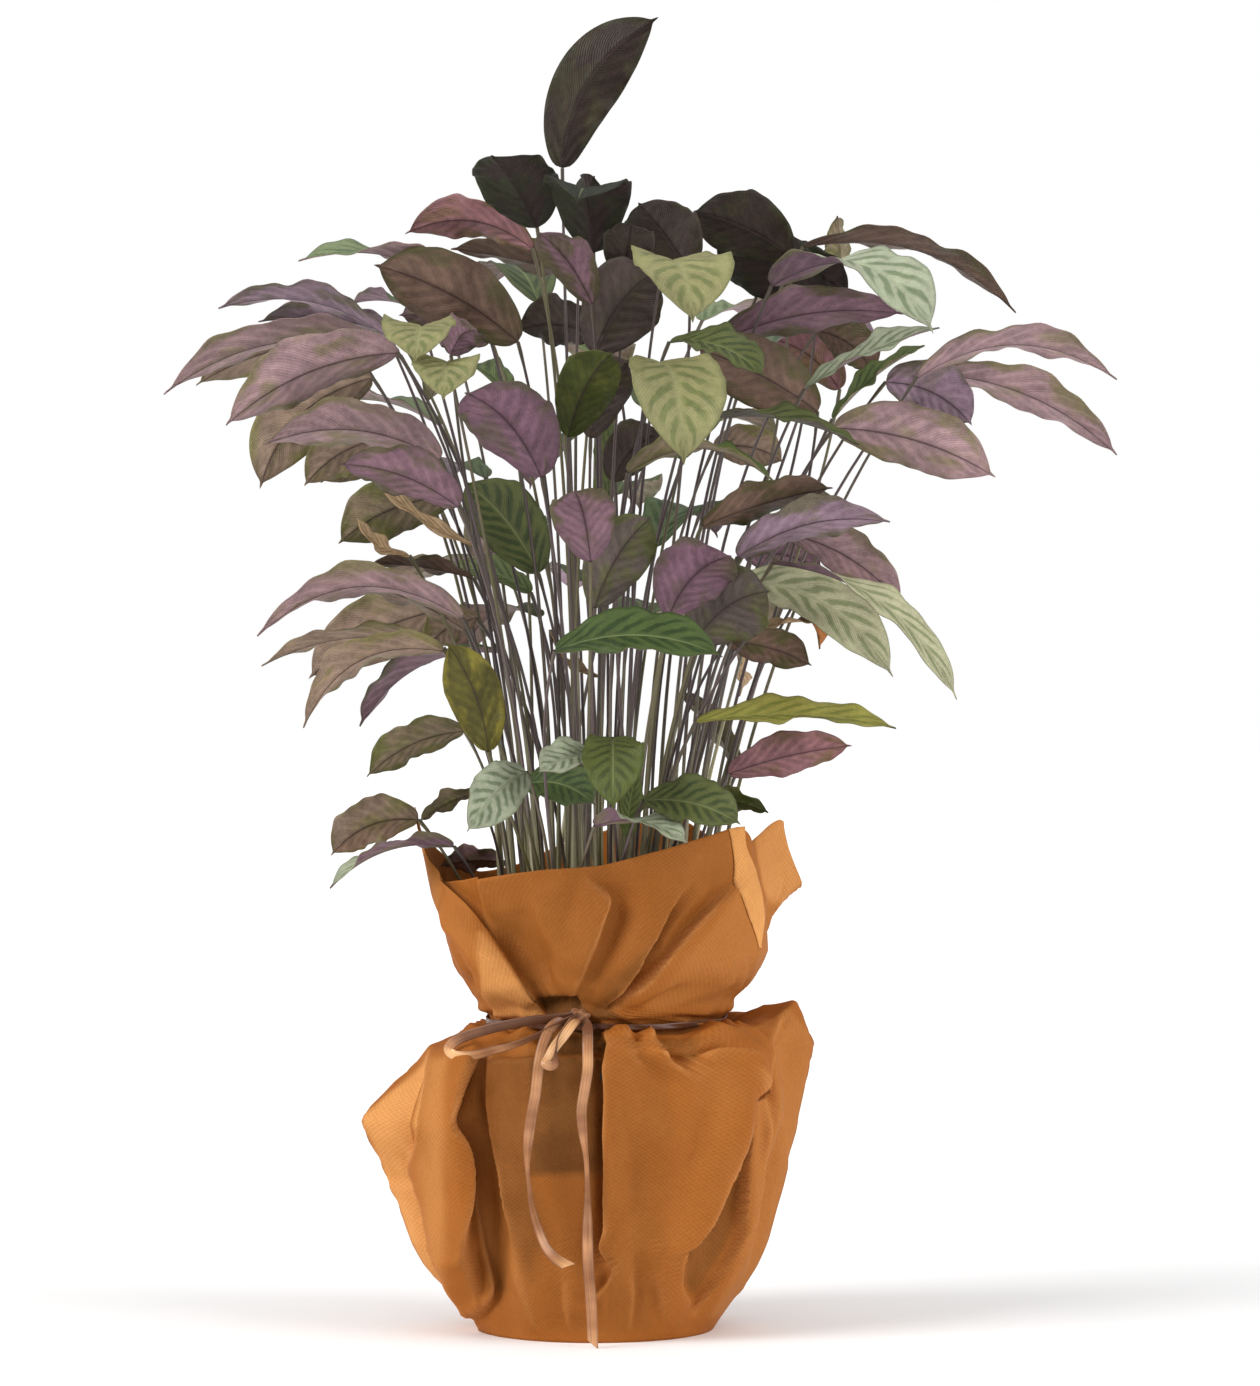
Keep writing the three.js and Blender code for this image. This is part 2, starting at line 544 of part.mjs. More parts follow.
// ---- pot and soil ----
function lathe(profile, sides) {
  const points = profile.map(([r, z]) => new THREE.Vector2(r, z));
  const geometry = new THREE.LatheGeometry(points, sides);
  geometry.rotateX(Math.PI / 2);
  return outwards(geometry);
}

function cylinder(radius, low, high, x, y, sides) {
  const geometry = new THREE.CylinderGeometry(radius, radius, high - low, sides);
  geometry.rotateX(Math.PI / 2);
  geometry.translate(x, y, (low + high) / 2);
  return solidOf(geometry);
}

function makePot() {
  const base = pot.floor;
  const slope = (pot.rim - 4 - pot.foot) / (pot.height - base);
  const wallAt = (z) => pot.foot + slope * (z - base);
  let solid = lathe([
    [0, base + 3], [pot.foot - 16, base + 3], [pot.foot - 13, base], [pot.foot, base],
    [wallAt(pot.height - pot.lip), pot.height - pot.lip], [pot.rim, pot.height - pot.lip],
    [pot.rim, pot.height], [wallAt(pot.height) - pot.wall, pot.height],
    [pot.foot - pot.wall, base + 2 + pot.wall], [pot.foot - 16, base + 3 + pot.wall],
    [0, base + 3 + pot.wall],
  ], pot.sides);
  for (let i = 0; i < 6; i += 1) {
    const turn = (i * Math.PI) / 3;
    const [x, y] = [46 * Math.cos(turn), 46 * Math.sin(turn)];
    solid = solid.subtract(cylinder(6, 0, 12, x, y, 8));
  }
  return solid;
}

function makeSoil(shoots) {
  const low = pot.floor + 3 + pot.wall + 0.4;
  const slope = (pot.rim - 4 - pot.foot) / (pot.height - pot.floor);
  const fill = (z) => pot.foot - pot.wall - 0.6 + slope * (z - pot.floor - 2);
  let solid = lathe([
    [0, low], [fill(low) - 0.8, low], [fill(soil.top - 3), soil.top - 3], [fill(soil.top) - 4, soil.top],
    [0, soil.top],
  ], soil.sides);
  for (const shoot of shoots) {
    const [x, y] = [shoot.spot.x, shoot.spot.y];
    solid = solid.subtract(
      cylinder(soil.hole, soil.top - soil.holeDepth, soil.top + 20, x, y, 6));
  }
  return solid;
}

// ---- the ribbon ----
// Routes in space: x, z in the front elevation and the depth y.
const tailLeft = [
  [-14, 207, -92], [-24, 206, -98], [-31, 200, -105], [-35, 190, -110.5], [-38, 176, -112.5],
  [-40, 158, -113], [-43, 141, -113], [-45, 125, -112], [-45.5, 108, -111], [-44, 92, -110],
  [-42, 79, -109], [-38, 66, -108], [-33, 54, -108], [-26, 46, -109], [-18, 41, -110],
];
const tailRight = [
  [-9, 206, -92], [-6, 204, -99], [-5, 198, -107], [-5, 188, -112.5], [-5, 174, -115],
  [-7, 160, -115], [-9, 146, -114], [-8, 130, -113], [-6, 115, -112], [-5, 96, -111],
  [-5, 76, -110], [-5, 58, -109], [-4.5, 40, -108], [-3, 22, -107], [-2, 4, -106], [-1.5, -12, -105],
];
const bigLoop = [
  [-11, 210, -91], [-22, 210, -96], [-42, 208, -98], [-64, 203, -92], [-84, 198, -82],
  [-96, 192, -76], [-95, 186, -76], [-84, 183.5, -84], [-68, 185, -94], [-52, 189, -102],
  [-36, 197, -103], [-22, 205, -98], [-11, 209, -92],
];
const smallLoop = [
  [-11, 209, -91], [-15, 203, -100], [-22, 192, -112], [-28, 181, -117.5], [-31, 175, -119],
  [-27, 173, -121.5], [-23, 181, -121], [-17, 192, -116], [-13, 203, -104], [-11, 209, -94],
];
// The share of each tail's route that belongs to the bow, and the gap after it.
const tailSplit = { left: 2 / 14, right: 2 / 15, gap: 0.004 };

function ribbonCurve(route) {
  return new THREE.CatmullRomCurve3(route.map(([x, z, y]) => fromElevation(x, z, y)));
}

// A flat band along a route: its face stands towards the front, its width lies across the route.
function ribbonSolid(route, steps, from = 0, to = 1) {
  const curve = ribbonCurve(route);
  const points = [];
  for (let i = 0; i <= steps; i += 1) {
    const t = from + ((to - from) * i) / steps;
    const along = curve.getTangent(t);
    const outward = new THREE.Vector3(0, -1, 0).addScaledVector(along, along.y).normalize();
    const over = new THREE.Vector3().crossVectors(outward, along).multiplyScalar(ribbon.width / 2);
    const thick = outward.clone().multiplyScalar(ribbon.thickness / 2);
    const centre = curve.getPoint(t);
    for (const [w, d] of [[1, 1], [-1, 1], [-1, -1], [1, -1]]) {
      points.push(centre.clone().addScaledVector(over, w).addScaledVector(thick, d));
    }
  }
  const triangles = [0, 1, 2, 0, 2, 3];
  for (let i = 0; i < steps; i += 1) {
    for (let j = 0; j < 4; j += 1) {
      const [a, b] = [4 * i + j, 4 * i + ((j + 1) % 4)];
      triangles.push(a, a + 4, b + 4, a, b + 4, b);
    }
  }
  const end = 4 * steps;
  triangles.push(end, end + 2, end + 1, end, end + 3, end + 2);
  return outwards(indexed(points, triangles));
}

// The band lies on the gathered neck all the way round.
function makeBand() {
  const outline = (gap) => {
    const path = [];
    for (let i = 0; i < folds.length * 2; i += 1) {
      const point = wrapPoint(i / 2, 6);
      const reach = Math.hypot(point.x, point.y);
      const scale = (reach + gap) / reach;
      path.push(new THREE.Vector2(point.x * scale, point.y * scale));
    }
    return path;
  };
  const shape = new THREE.Shape(outline(ribbon.gap + ribbon.thickness));
  shape.holes.push(new THREE.Path(outline(ribbon.gap)));
  const depth = ribbon.neckHigh - ribbon.neckLow;
  const geometry = new THREE.ExtrudeGeometry(shape, { depth, bevelEnabled: false });
  geometry.translate(0, 0, ribbon.neckLow);
  return outwards(geometry);
}

function makeBow() {
  const knot = new THREE.IcosahedronGeometry(1, 1);
  knot.scale(7.5, 4.2, 6);
  const centre = fromElevation(-11, 209, -90.6);
  knot.translate(centre.x, centre.y, centre.z);
  const pieces = [
    ribbonSolid(bigLoop, 18), ribbonSolid(smallLoop, 14),
    ribbonSolid(tailLeft, 3, 0, tailSplit.left), ribbonSolid(tailRight, 3, 0, tailSplit.right),
  ];
  return pieces.reduce((whole, piece) => whole.add(piece), solidOf(knot));
}

// ---- assembly ----
const wrapSolid = makeWrap();
const potSolid = makePot();
const bandSolid = makeBand();
const bowSolid = makeBow();
const tailLeftSolid = ribbonSolid(tailLeft, 15, tailSplit.left + tailSplit.gap);
const tailRightSolid = ribbonSolid(tailRight, 16, tailSplit.right + tailSplit.gap);
const holders = [wrapSolid, potSolid, bandSolid, bowSolid, tailLeftSolid, tailRightSolid];
const shoots = growLeaves(holders);
const soilSolid = makeSoil(shoots);

const plant = new THREE.Group();
plant.add(meshOf('pot', geometryOf(potSolid), colours.pot, 0.5));
plant.add(meshOf('soil', geometryOf(soilSolid), colours.soil, 0.95));
plant.add(meshOf('wrap', geometryOf(wrapSolid), colours.wrap, 0.85));
plant.add(meshOf('ribbon_band', geometryOf(bandSolid), colours.ribbon, 0.4));
plant.add(meshOf('ribbon_bow', geometryOf(bowSolid), colours.ribbon, 0.4));
plant.add(meshOf('ribbon_tail_left', geometryOf(tailLeftSolid), colours.ribbon, 0.4));
plant.add(meshOf('ribbon_tail_right', geometryOf(tailRightSolid), colours.ribbon, 0.4));

const leafColours = [colours.leafUnder, colours.leafTop, colours.leafOlive, colours.leafDark];
shoots.forEach((shoot, index) => {
  const name = `shoot_${String(index + 1).padStart(2, '0')}`;
  plant.add(meshOf(name, geometryOf(shootSolid(shoot)), leafColours[index % 4], 0.6));
});

export default plant;
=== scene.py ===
# A tall prayer plant in a pot wrapped in non-woven cloth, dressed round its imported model.
# Metres and +Z up in the scene; sizes in the tables and routes are millimetres.
import math
import random

import bmesh
import bpy
import numpy as np
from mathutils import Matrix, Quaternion, Vector, noise
from mathutils.kdtree import KDTree


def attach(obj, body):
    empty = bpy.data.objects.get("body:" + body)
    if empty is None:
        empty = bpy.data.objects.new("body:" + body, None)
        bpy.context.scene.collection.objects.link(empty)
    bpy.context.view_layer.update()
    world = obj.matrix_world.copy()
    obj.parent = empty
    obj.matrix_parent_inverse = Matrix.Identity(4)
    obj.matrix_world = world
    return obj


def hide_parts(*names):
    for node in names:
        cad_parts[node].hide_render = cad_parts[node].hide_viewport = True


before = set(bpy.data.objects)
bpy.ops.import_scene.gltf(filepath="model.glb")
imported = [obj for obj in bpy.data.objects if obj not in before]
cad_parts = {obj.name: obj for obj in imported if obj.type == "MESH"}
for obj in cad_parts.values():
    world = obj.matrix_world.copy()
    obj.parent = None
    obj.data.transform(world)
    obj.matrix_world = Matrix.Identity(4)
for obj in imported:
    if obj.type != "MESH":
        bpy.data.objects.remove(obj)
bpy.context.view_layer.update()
mm = 0.001
print("frame loaded")


def placed(name, data):
    thing = bpy.data.objects.new(name, data)
    bpy.context.collection.objects.link(thing)
    return thing


# the camera looks straight at the front from about the middle of the plant's height
station = {"x": 23.6, "z": 427.3, "distance": 3200, "tall": 934.2, "sensor": 36}

cameraData = bpy.data.cameras.new("camera")
cameraData.sensor_fit = "VERTICAL"
cameraData.sensor_height = station["sensor"]
cameraData.lens = station["sensor"] * station["distance"] / station["tall"]
camera = placed("camera", cameraData)
camera.location = (station["x"] * mm, -station["distance"] * mm, station["z"] * mm)
camera.rotation_euler = (math.radians(90), 0, 0)
bpy.context.scene.camera = camera
print("camera placed")


# sockets with arithmetic, so that a finish reads as a formula
class Wire:
    def __init__(self, finish, socket):
        self.finish, self.socket = finish, socket

    def maths(self, operation, *others):
        values = dict(enumerate((self, *others)))
        return self.finish.node("ShaderNodeMath", {"operation": operation}, values)

    def __add__(self, other):
        return self.maths("ADD", other)

    def __sub__(self, other):
        return self.maths("SUBTRACT", other)

    def __rsub__(self, other):
        return self.maths("MULTIPLY", -1).maths("ADD", other)

    def __mul__(self, other):
        return self.maths("MULTIPLY", other)

    __radd__, __rmul__ = __add__, __mul__

    def size(self):
        return self.maths("ABSOLUTE")

    def wave(self):
        return (self * (2 * math.pi)).maths("SINE")

    def step(self, low, high):
        settings = {"interpolation_type": "SMOOTHSTEP"}
        return self.finish.node("ShaderNodeMapRange", settings, {0: self, 1: low, 2: high})


# a material, whose nodes are made by short calls
class Finish:
    def __init__(self, name, **constants):
        self.material = bpy.data.materials.new(name)
        self.material.use_nodes = True
        self.tree = self.material.node_tree
        self.shader = self.tree.nodes["Principled BSDF"]
        for socket, value in constants.items():
            self.shader.inputs[socket.replace("_", " ")].default_value = value

    def node(self, kind, settings=None, values=None, output=0):
        made = self.tree.nodes.new(kind)
        for key, value in (settings or {}).items():
            setattr(made, key, value)
        for key, value in (values or {}).items():
            if isinstance(value, Wire):
                self.tree.links.new(value.socket, made.inputs[key])
            else:
                made.inputs[key].default_value = value
        return Wire(self, made.outputs[output])

    def places(self):
        return self.node("ShaderNodeTexCoord", output="Object")

    def attribute(self, name, output="Color"):
        return self.node("ShaderNodeAttribute", {"attribute_name": name}, output=output)

    def parts(self, vector):
        split = self.tree.nodes.new("ShaderNodeSeparateXYZ")
        self.tree.links.new(vector.socket, split.inputs[0])
        return [Wire(self, socket) for socket in split.outputs]

    def vector(self, x, y, z=0.0):
        return self.node("ShaderNodeCombineXYZ", values={0: x, 1: y, 2: z})

    def stretched(self, vector, scale):
        return self.node("ShaderNodeVectorMath", {"operation": "MULTIPLY"}, {0: vector, 1: scale})

    def grain(self, vector, scale, detail, rough=0.55):
        return self.node("ShaderNodeTexNoise", values={
            "Vector": vector, "Scale": scale, "Detail": detail, "Roughness": rough})

    def mix(self, factor, a, b):
        return self.node("ShaderNodeMix", {"data_type": "RGBA"}, {0: factor, 6: a, 7: b}, output=2)

    def shade(self, colour, amount):
        # lighter or darker by a number round 1
        return self.stretched(colour, self.vector(amount, amount, amount))

    def relief(self, height, depth, distance):
        values = {"Height": height, "Strength": depth, "Distance": distance}
        self.feed("Normal", self.node("ShaderNodeBump", values=values))

    def feed(self, socket, wire):
        self.tree.links.new(wire.socket, self.shader.inputs[socket])


def tone(red, green, blue):
    # a linear colour from its display values, 0 to 255
    linear = [(v / 255 / 12.92 if v < 11 else ((v / 255 + 0.055) / 1.055) ** 2.4)
              for v in (red, green, blue)]
    return (*linear, 1.0)


# front elevations are drawn as they look from this eye
eye = {"x": 24, "z": 427, "distance": 3200}


def fromElevation(x, z, y):
    k = 1 + y / eye["distance"]
    return Vector((eye["x"] + (x - eye["x"]) * k, y, eye["z"] + (z - eye["z"]) * k))


def elevationOf(points):
    k = 1 + points[..., 1] / eye["distance"]
    across = eye["x"] + (points[..., 0] - eye["x"]) / k
    up = eye["z"] + (points[..., 2] - eye["z"]) / k
    return np.stack([across, up], -1)


def gridOf(bm, across, along):
    # a flat grid one unit wide, with its points in rows of across + 1
    made = bmesh.ops.create_grid(bm, x_segments=across, y_segments=along, size=0.5)["verts"]
    return [made[k:k + across + 1] for k in range(0, len(made), across + 1)]


def closeSeam(bm, rows, gap=0.05):
    # the two ends of every row become one point
    bmesh.ops.remove_doubles(bm, verts=[v for row in rows for v in (row[0], row[-1])], dist=gap * mm)


def meshFrom(name, bm, materials):
    mesh = bpy.data.meshes.new(name)
    bm.to_mesh(mesh)
    bm.free()
    for material in materials:
        mesh.materials.append(material)
    return mesh


def finished(name, bm, materials):
    mesh = meshFrom(name, bm, materials)
    mesh.shade_smooth()
    piece = placed(name, mesh)
    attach(piece, "root")
    return piece


def thicken(piece, thickness, offset=-1, shell=0):
    solidify = piece.modifiers.new("thickness", "SOLIDIFY")
    solidify.thickness = thickness * mm
    solidify.offset = offset
    solidify.material_offset = shell
    solidify.material_offset_rim = shell


def catmullWeights(count, places, crisp=0.0):
    # how much each row of a table counts at each place along it, with its corners more or less crisp
    table = np.zeros((len(places), count))
    for row, place in zip(table, places):
        low = min(max(int(math.floor(place)), 0), count - 2)
        t = place - low
        shares = (
            0.5 * (2 * t * t - t - t ** 3), 0.5 * (2 - 5 * t * t + 3 * t ** 3),
            0.5 * (t + 4 * t * t - 3 * t ** 3), 0.5 * (t ** 3 - t * t))
        for step, share, straight in zip((-1, 0, 1, 2), shares, (0, 1 - t, t, 0)):
            row[min(max(low + step, 0), count - 1)] += share * (1 - crisp) + straight * crisp
    return table


def ease(low, high, value):
    t = min(max((value - low) / (high - low), 0.0), 1.0)
    return t * t * (3 - 2 * t)


def smoothstep(x):
    x = np.clip(x, 0, 1)
    return x * x * (3 - 2 * x)


ribbon = {
    "width": 7.1, "thickness": 0.35, "across": 6, "cup": 0.12,
    "slant": 3.2, "cutSteps": 4,                        # the tails are cut aslant over their last steps
    "neckLow": 206.0, "neckHigh": 210.2, "gap": 0.5, "lineWidth": 0.022, "bandShade": 1.0,
    "bandSteps": 300, "upperSteps": 16,                 # round the neck, and of a tail above its split
}
# Each strip has its route in the front elevation, as x across, z up and the depth y. Its roll in
# degrees and its shade are spread evenly along it: 1 is in deep shadow and -1 catches the light.
# The first part of a tail, up to its split, is made with the bow.
tailLeft = {
    "route": [
        (-14, 207, -92), (-24, 206, -98), (-31, 200, -105), (-35, 190, -110.5), (-38, 176, -112.5),
        (-40, 158, -113), (-43, 141, -113), (-45, 125, -112), (-45.5, 108, -111), (-44, 92, -110),
        (-42, 79, -109), (-38, 66, -108), (-33, 54, -108), (-26, 46, -109), (-18, 41, -110)],
    "rolls": (10, 8, 0, -10, -68, -66, -45, -30, -10), "upperRolls": (10, 10),
    "shades": (0.3, -0.2, 0, 0.1, -0.1, 0.3, 0.1, 0, -0.6), "upperShades": (0.6, 0.3),
    "steps": 90, "split": 2 / 14,
}
tailRight = {
    "route": [
        (-9, 206, -92), (-6, 204, -99), (-5, 198, -107), (-5, 188, -112.5), (-5, 174, -115),
        (-7, 160, -115), (-9, 146, -114), (-8, 130, -113), (-6, 115, -112), (-5, 96, -111),
        (-5, 76, -110), (-5, 58, -109), (-4.5, 40, -108), (-3, 22, -107), (-2, 4, -106),
        (-1.5, -12, -105)],
    "rolls": (10, 0, -8, -20, -60, -62, -20, 0, 5, 10), "upperRolls": (0, 10),
    "shades": (0.7, -0.4, 0, 0.1, -0.2, 0.4, 0.1, 0, 0, -0.4), "upperShades": (0.9, 0.7),
    "steps": 110, "split": 2 / 15,
}
bigLoop = {
    "route": [
        (-11, 210, -91), (-22, 208, -96), (-42, 206.5, -99), (-64, 202.5, -93), (-84, 197, -84),
        (-95, 192, -78), (-98.5, 187, -76), (-94, 183, -78), (-82, 183, -86), (-68, 186.5, -95),
        (-52, 191, -102), (-38, 197, -104), (-24, 204, -99), (-11, 209, -92)],
    "rolls": (-10, -20, -24, -24, -20, -6, 10, 18, 30, 42, 54, 60, 50, 30),
    "shades": (1, 1, 0.95, 0.8, 0.7, 0.4, -0.6, -0.8, -0.3, 0.1, 0.4, 0.6, 0.7, 0.8), "steps": 110,
}
smallLoop = {
    "route": [
        (-11, 210, -91), (-15, 205, -100), (-20, 198, -108), (-27, 189, -114.5), (-32, 181, -118),
        (-33.5, 177.5, -120), (-30, 176, -121.5), (-27, 177.5, -121), (-26, 186, -118),
        (-24, 196, -110), (-17, 205, -99), (-11, 209, -94)],
    "rolls": (10, 5, 0, 20, 40, 30, 20, 45, 76, 78, 60, 20),
    "shades": (0.2, -0.6, -0.8, -0.7, -0.5, -0.3, -0.2, 0.2, 0.9, 1, 1, 0.8), "steps": 90,
}
knot = {"place": (-11, 209, -90.6), "size": (7, 4, 5.6), "segments": 48, "rings": 24, "shade": 0.4}


def satinFinish():
    finish = Finish(
        "copperSatin", Roughness=0.3, Specular_IOR_Level=0.38, Sheen_Weight=0.1, Anisotropic=0.5)
    along, across, dark = finish.parts(finish.attribute("ribbonPlace", "Vector"))
    threads = finish.grain(finish.vector(along * 0.02, across), 900, 2)
    # broad lighter and darker sweeps along the ribbon are painted satin sheen
    sweep = finish.grain(finish.vector(along, across * 0.3), 40, 2)
    colour = finish.mix(sweep.step(0.3, 0.7), tone(134, 84, 50), tone(188, 134, 92))
    # painted shade towards 1 and a painted highlight towards -1, from each strip's shade
    colour = finish.mix(dark.step(0, 1) * 0.92, colour, tone(84, 46, 24))
    colour = finish.mix((dark * -1).step(0, 1), colour, tone(236, 182, 126))
    edge = across.size().step(0.0026, 0.0034)          # the woven edges are darker
    colour = finish.mix(edge * 0.45, colour, tone(110, 64, 36))
    finish.feed("Base Color", finish.shade(colour, 0.74 + 0.5 * threads.step(0.3, 0.7)))
    finish.relief(threads, 0.25, 0.0002)
    return finish.material


satin = satinFinish()


def ribbonLine(strip, steps, start=0.0, end=1.0):
    route = strip["route"]
    points = np.array([fromElevation(x, z, y) for x, z, y in route])
    places = (start + (end - start) * np.linspace(0, 1, steps + 1)) * (len(route) - 1)
    return [Vector(point) for point in catmullWeights(len(route), places) @ points]


def layStrip(bm, line, rolls, shades, slant=0.0):
    # a strip of ribbon along a line, facing the front
    placeOf = bm.verts.layers.float_vector["ribbonPlace"]
    across, last = ribbon["across"], len(line) - 1
    roll, shade = (
        catmullWeights(len(each), np.linspace(0, len(each) - 1, len(line))) @ np.array(each, float)
        for each in (rolls, shades))
    run = 0.0
    for k, row in enumerate(gridOf(bm, across, last)):
        along = (line[min(k + 1, last)] - line[max(k - 1, 0)]).normalized()
        outward = (Vector((0, -1, 0)) + along * along.y).normalized()
        outward.rotate(Quaternion(along, math.radians(roll[k])))
        over = outward.cross(along)
        run += (line[k] - line[k - 1]).length if k else 0
        near = max(0.0, 1 - (last - k) / ribbon["cutSteps"])
        for j, vert in enumerate(row):
            aside = (j / across - 0.5) * -ribbon["width"]
            share = aside / ribbon["width"] * 2
            place = line[k] + over * aside + outward * ribbon["cup"] * (0.5 - share * share)
            vert.co = (place + along * slant * near * share) * mm
            vert[placeOf] = (run * mm, aside * mm, shade[k])


def newStripMesh():
    bm = bmesh.new()
    bm.verts.layers.float_vector.new("ribbonPlace")
    return bm


def makeTail(name, node, strip):
    line = ribbonLine(strip, strip["steps"], strip["split"])
    bm = newStripMesh()
    layStrip(bm, line, strip["rolls"], strip["shades"], ribbon["slant"])
    tail = finished(name, bm, [satin])
    thicken(tail, ribbon["thickness"], 0)
    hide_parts(node)


makeTail("ribbonTailLeft", "ribbon_tail_left", tailLeft)
makeTail("ribbonTailRight", "ribbon_tail_right", tailRight)
print("ribbon tails hung")


# One row a fold line, from the left round the front to the back: direction (degrees, 0 in front,
# 90 to the right) and radius at three heights; then, with a height of their own, the shoulder,
# the top of the shoulder, the neck, the collar and the rim.
foldHeights = (40, 90, 140)
neckHeights = (203.8, 212.2)
collarHeight = 255
folds = [
    # at z 40, 90 and 140, the shoulder and its top
    # the neck, the collar and the rim
    ((-96, 117), (-97, 139), (-98, 157), (-97, 112, 187), (-94, 93, 198),
     (-90, 72), (-92, 98), (-100, 121, 335)),
    ((-82, 98), (-81, 108), (-79, 119), (-80, 108, 185), (-78, 92, 197),
     (-75, 74), (-78, 101), (-93, 121, 349)),
    ((-74, 103), (-71, 119), (-69, 132), (-70, 115, 184), (-65, 98, 198),
     (-58, 77), (-64, 106), (-84, 116, 332)),
    ((-63, 100), (-59, 121), (-57, 137), (-58, 118, 184), (-50, 100, 199),
     (-42, 80), (-52, 109), (-76, 112, 315)),
    ((-54, 95), (-51, 110), (-48, 124), (-45, 112, 185), (-36, 100, 200),
     (-28, 83), (-40, 109), (-68, 108, 302)),
    ((-47, 86), (-46, 94), (-44, 102), (-40, 104, 185), (-29, 96, 199),
     (-18, 80), (-30, 92), (-60, 106, 303)),
    ((-34, 90), (-32, 97), (-30, 105), (-28, 108, 186), (-19, 100, 200),
     (-12, 82), (-18, 98), (-40, 110, 306)),
    ((-14, 91), (-13, 98), (-12, 105), (-12, 109, 187), (-9, 101, 201),
     (-6, 84), (-6, 104), (-18, 112, 312)),
    ((3, 88), (3, 95), (3, 101), (2, 105, 188), (1, 99, 201),
     (0, 84), (8, 108), (2, 114, 315)),
    ((7, 93), (7, 101), (7, 108), (6, 111, 190), (6, 104, 203),
     (5, 86), (20, 110), (20, 116, 324)),
    ((22, 92), (25, 102), (28, 111), (30, 117, 190), (26, 106, 203),
     (22, 86), (38, 114), (40, 117, 334)),
    ((38, 96), (42, 110), (48, 124), (56, 128, 190), (50, 112, 205),
     (44, 88), (54, 122), (56, 117, 339)),
    ((47, 88), (52, 99), (57, 110), (66, 121, 189), (62, 108, 204),
     (58, 88), (68, 122), (66, 116, 325)),
    ((66, 104), (70, 117), (73, 129), (76, 127, 192), (74, 114, 206),
     (72, 88), (82, 116), (82, 106, 322)),
    ((80, 101), (82, 115), (84, 125), (85, 133, 194), (85, 120, 208),
     (84, 88), (92, 113), (98, 106, 326)),
    ((95, 110), (95, 126), (95, 139), (94, 145, 190), (95, 132, 215),
     (96, 88), (103, 116), (106, 129, 338)),
    ((114, 94), (114, 106), (114, 116), (112, 118, 188), (113, 104, 203),
     (114, 84), (115, 118), (113, 151, 296)),
    ((134, 104), (134, 121), (135, 134), (134, 122, 185), (134, 104, 200),
     (134, 82), (134, 112), (130, 122, 318)),
    ((154, 90), (154, 99), (154, 107), (154, 108, 185), (154, 98, 199),
     (154, 80), (153, 108), (150, 116, 340)),
    ((174, 101), (174, 115), (175, 126), (174, 117, 184), (174, 100, 199),
     (174, 79), (174, 108), (172, 114, 334)),
    ((192, 90), (192, 98), (192, 105), (192, 107, 184), (192, 96, 198),
     (192, 78), (192, 106), (192, 112, 322)),
    ((211, 102), (211, 118), (211, 130), (211, 118, 184), (211, 99, 198),
     (210, 77), (211, 106), (210, 112, 308)),
    ((229, 91), (229, 101), (229, 109), (229, 107, 184), (229, 94, 198),
     (228, 75), (229, 103), (226, 112, 304)),
    ((243, 104), (243, 120), (244, 132), (244, 114, 184), (244, 94, 198),
     (244, 73), (245, 100), (241, 114, 312)),
    ((254, 106), (253, 121), (253, 132), (253, 108, 185), (254, 92, 198),
     (257, 72), (257, 99), (252, 118, 324)),
]
# levels up the cloth are counted in rows of this table, with the foot as 0
wrapLevels = {"foot": 0, "neck": 6, "tied": 6.5, "collar": 7, "rim": 9}
wrap = {
    "foot": 80, "thickness": 0.4, "flat": (0.65, 0.65), "area": 0.42,
    # rows of the grid from the foot up, and columns; the finely divided front lies between two lines
    "skirt": 88, "neck": 6, "collar": 54, "front": 228, "back": 72,
    "frontFrom": -0.6, "frontTo": 15.6, "seam": 17.4,
    # how far the cloth bends off its fold lines
    "crisp": 0.45, "gather": 3.6, "lips": 3.2, "crumple": 1.5,
    # laps: an edge's softness, more of it for a small lap, the painted highlight along its edge, and how the
    # columns crowd along it
    "soften": 1.5, "smallSoft": 0.5, "small": 6, "highlightAt": 0.6, "highlightWidth": 1.1, "calm": 1,
    "crowd": 3.0, "close": 4.5, "crowdSoft": (40, 6),
    # pleats of the sides and the back, and how wide the space between two fold lines counts
    "pleats": 10, "seed": 5, "lineSpan": 32, "lineWidth": 0.028,
    "creaseRounds": 6, "creaseAngle": 0.015, "creaseMost": 2.5, "searchSteps": 240,
}
# how closely each kind of crumple repeats, and the lips beside the ribbon: level and half width
crumple = {"pleat": 6.2, "soft": 0.02, "facet": 0.045, "lips": ((5.5, 0.3), (7.13, 0.09))}

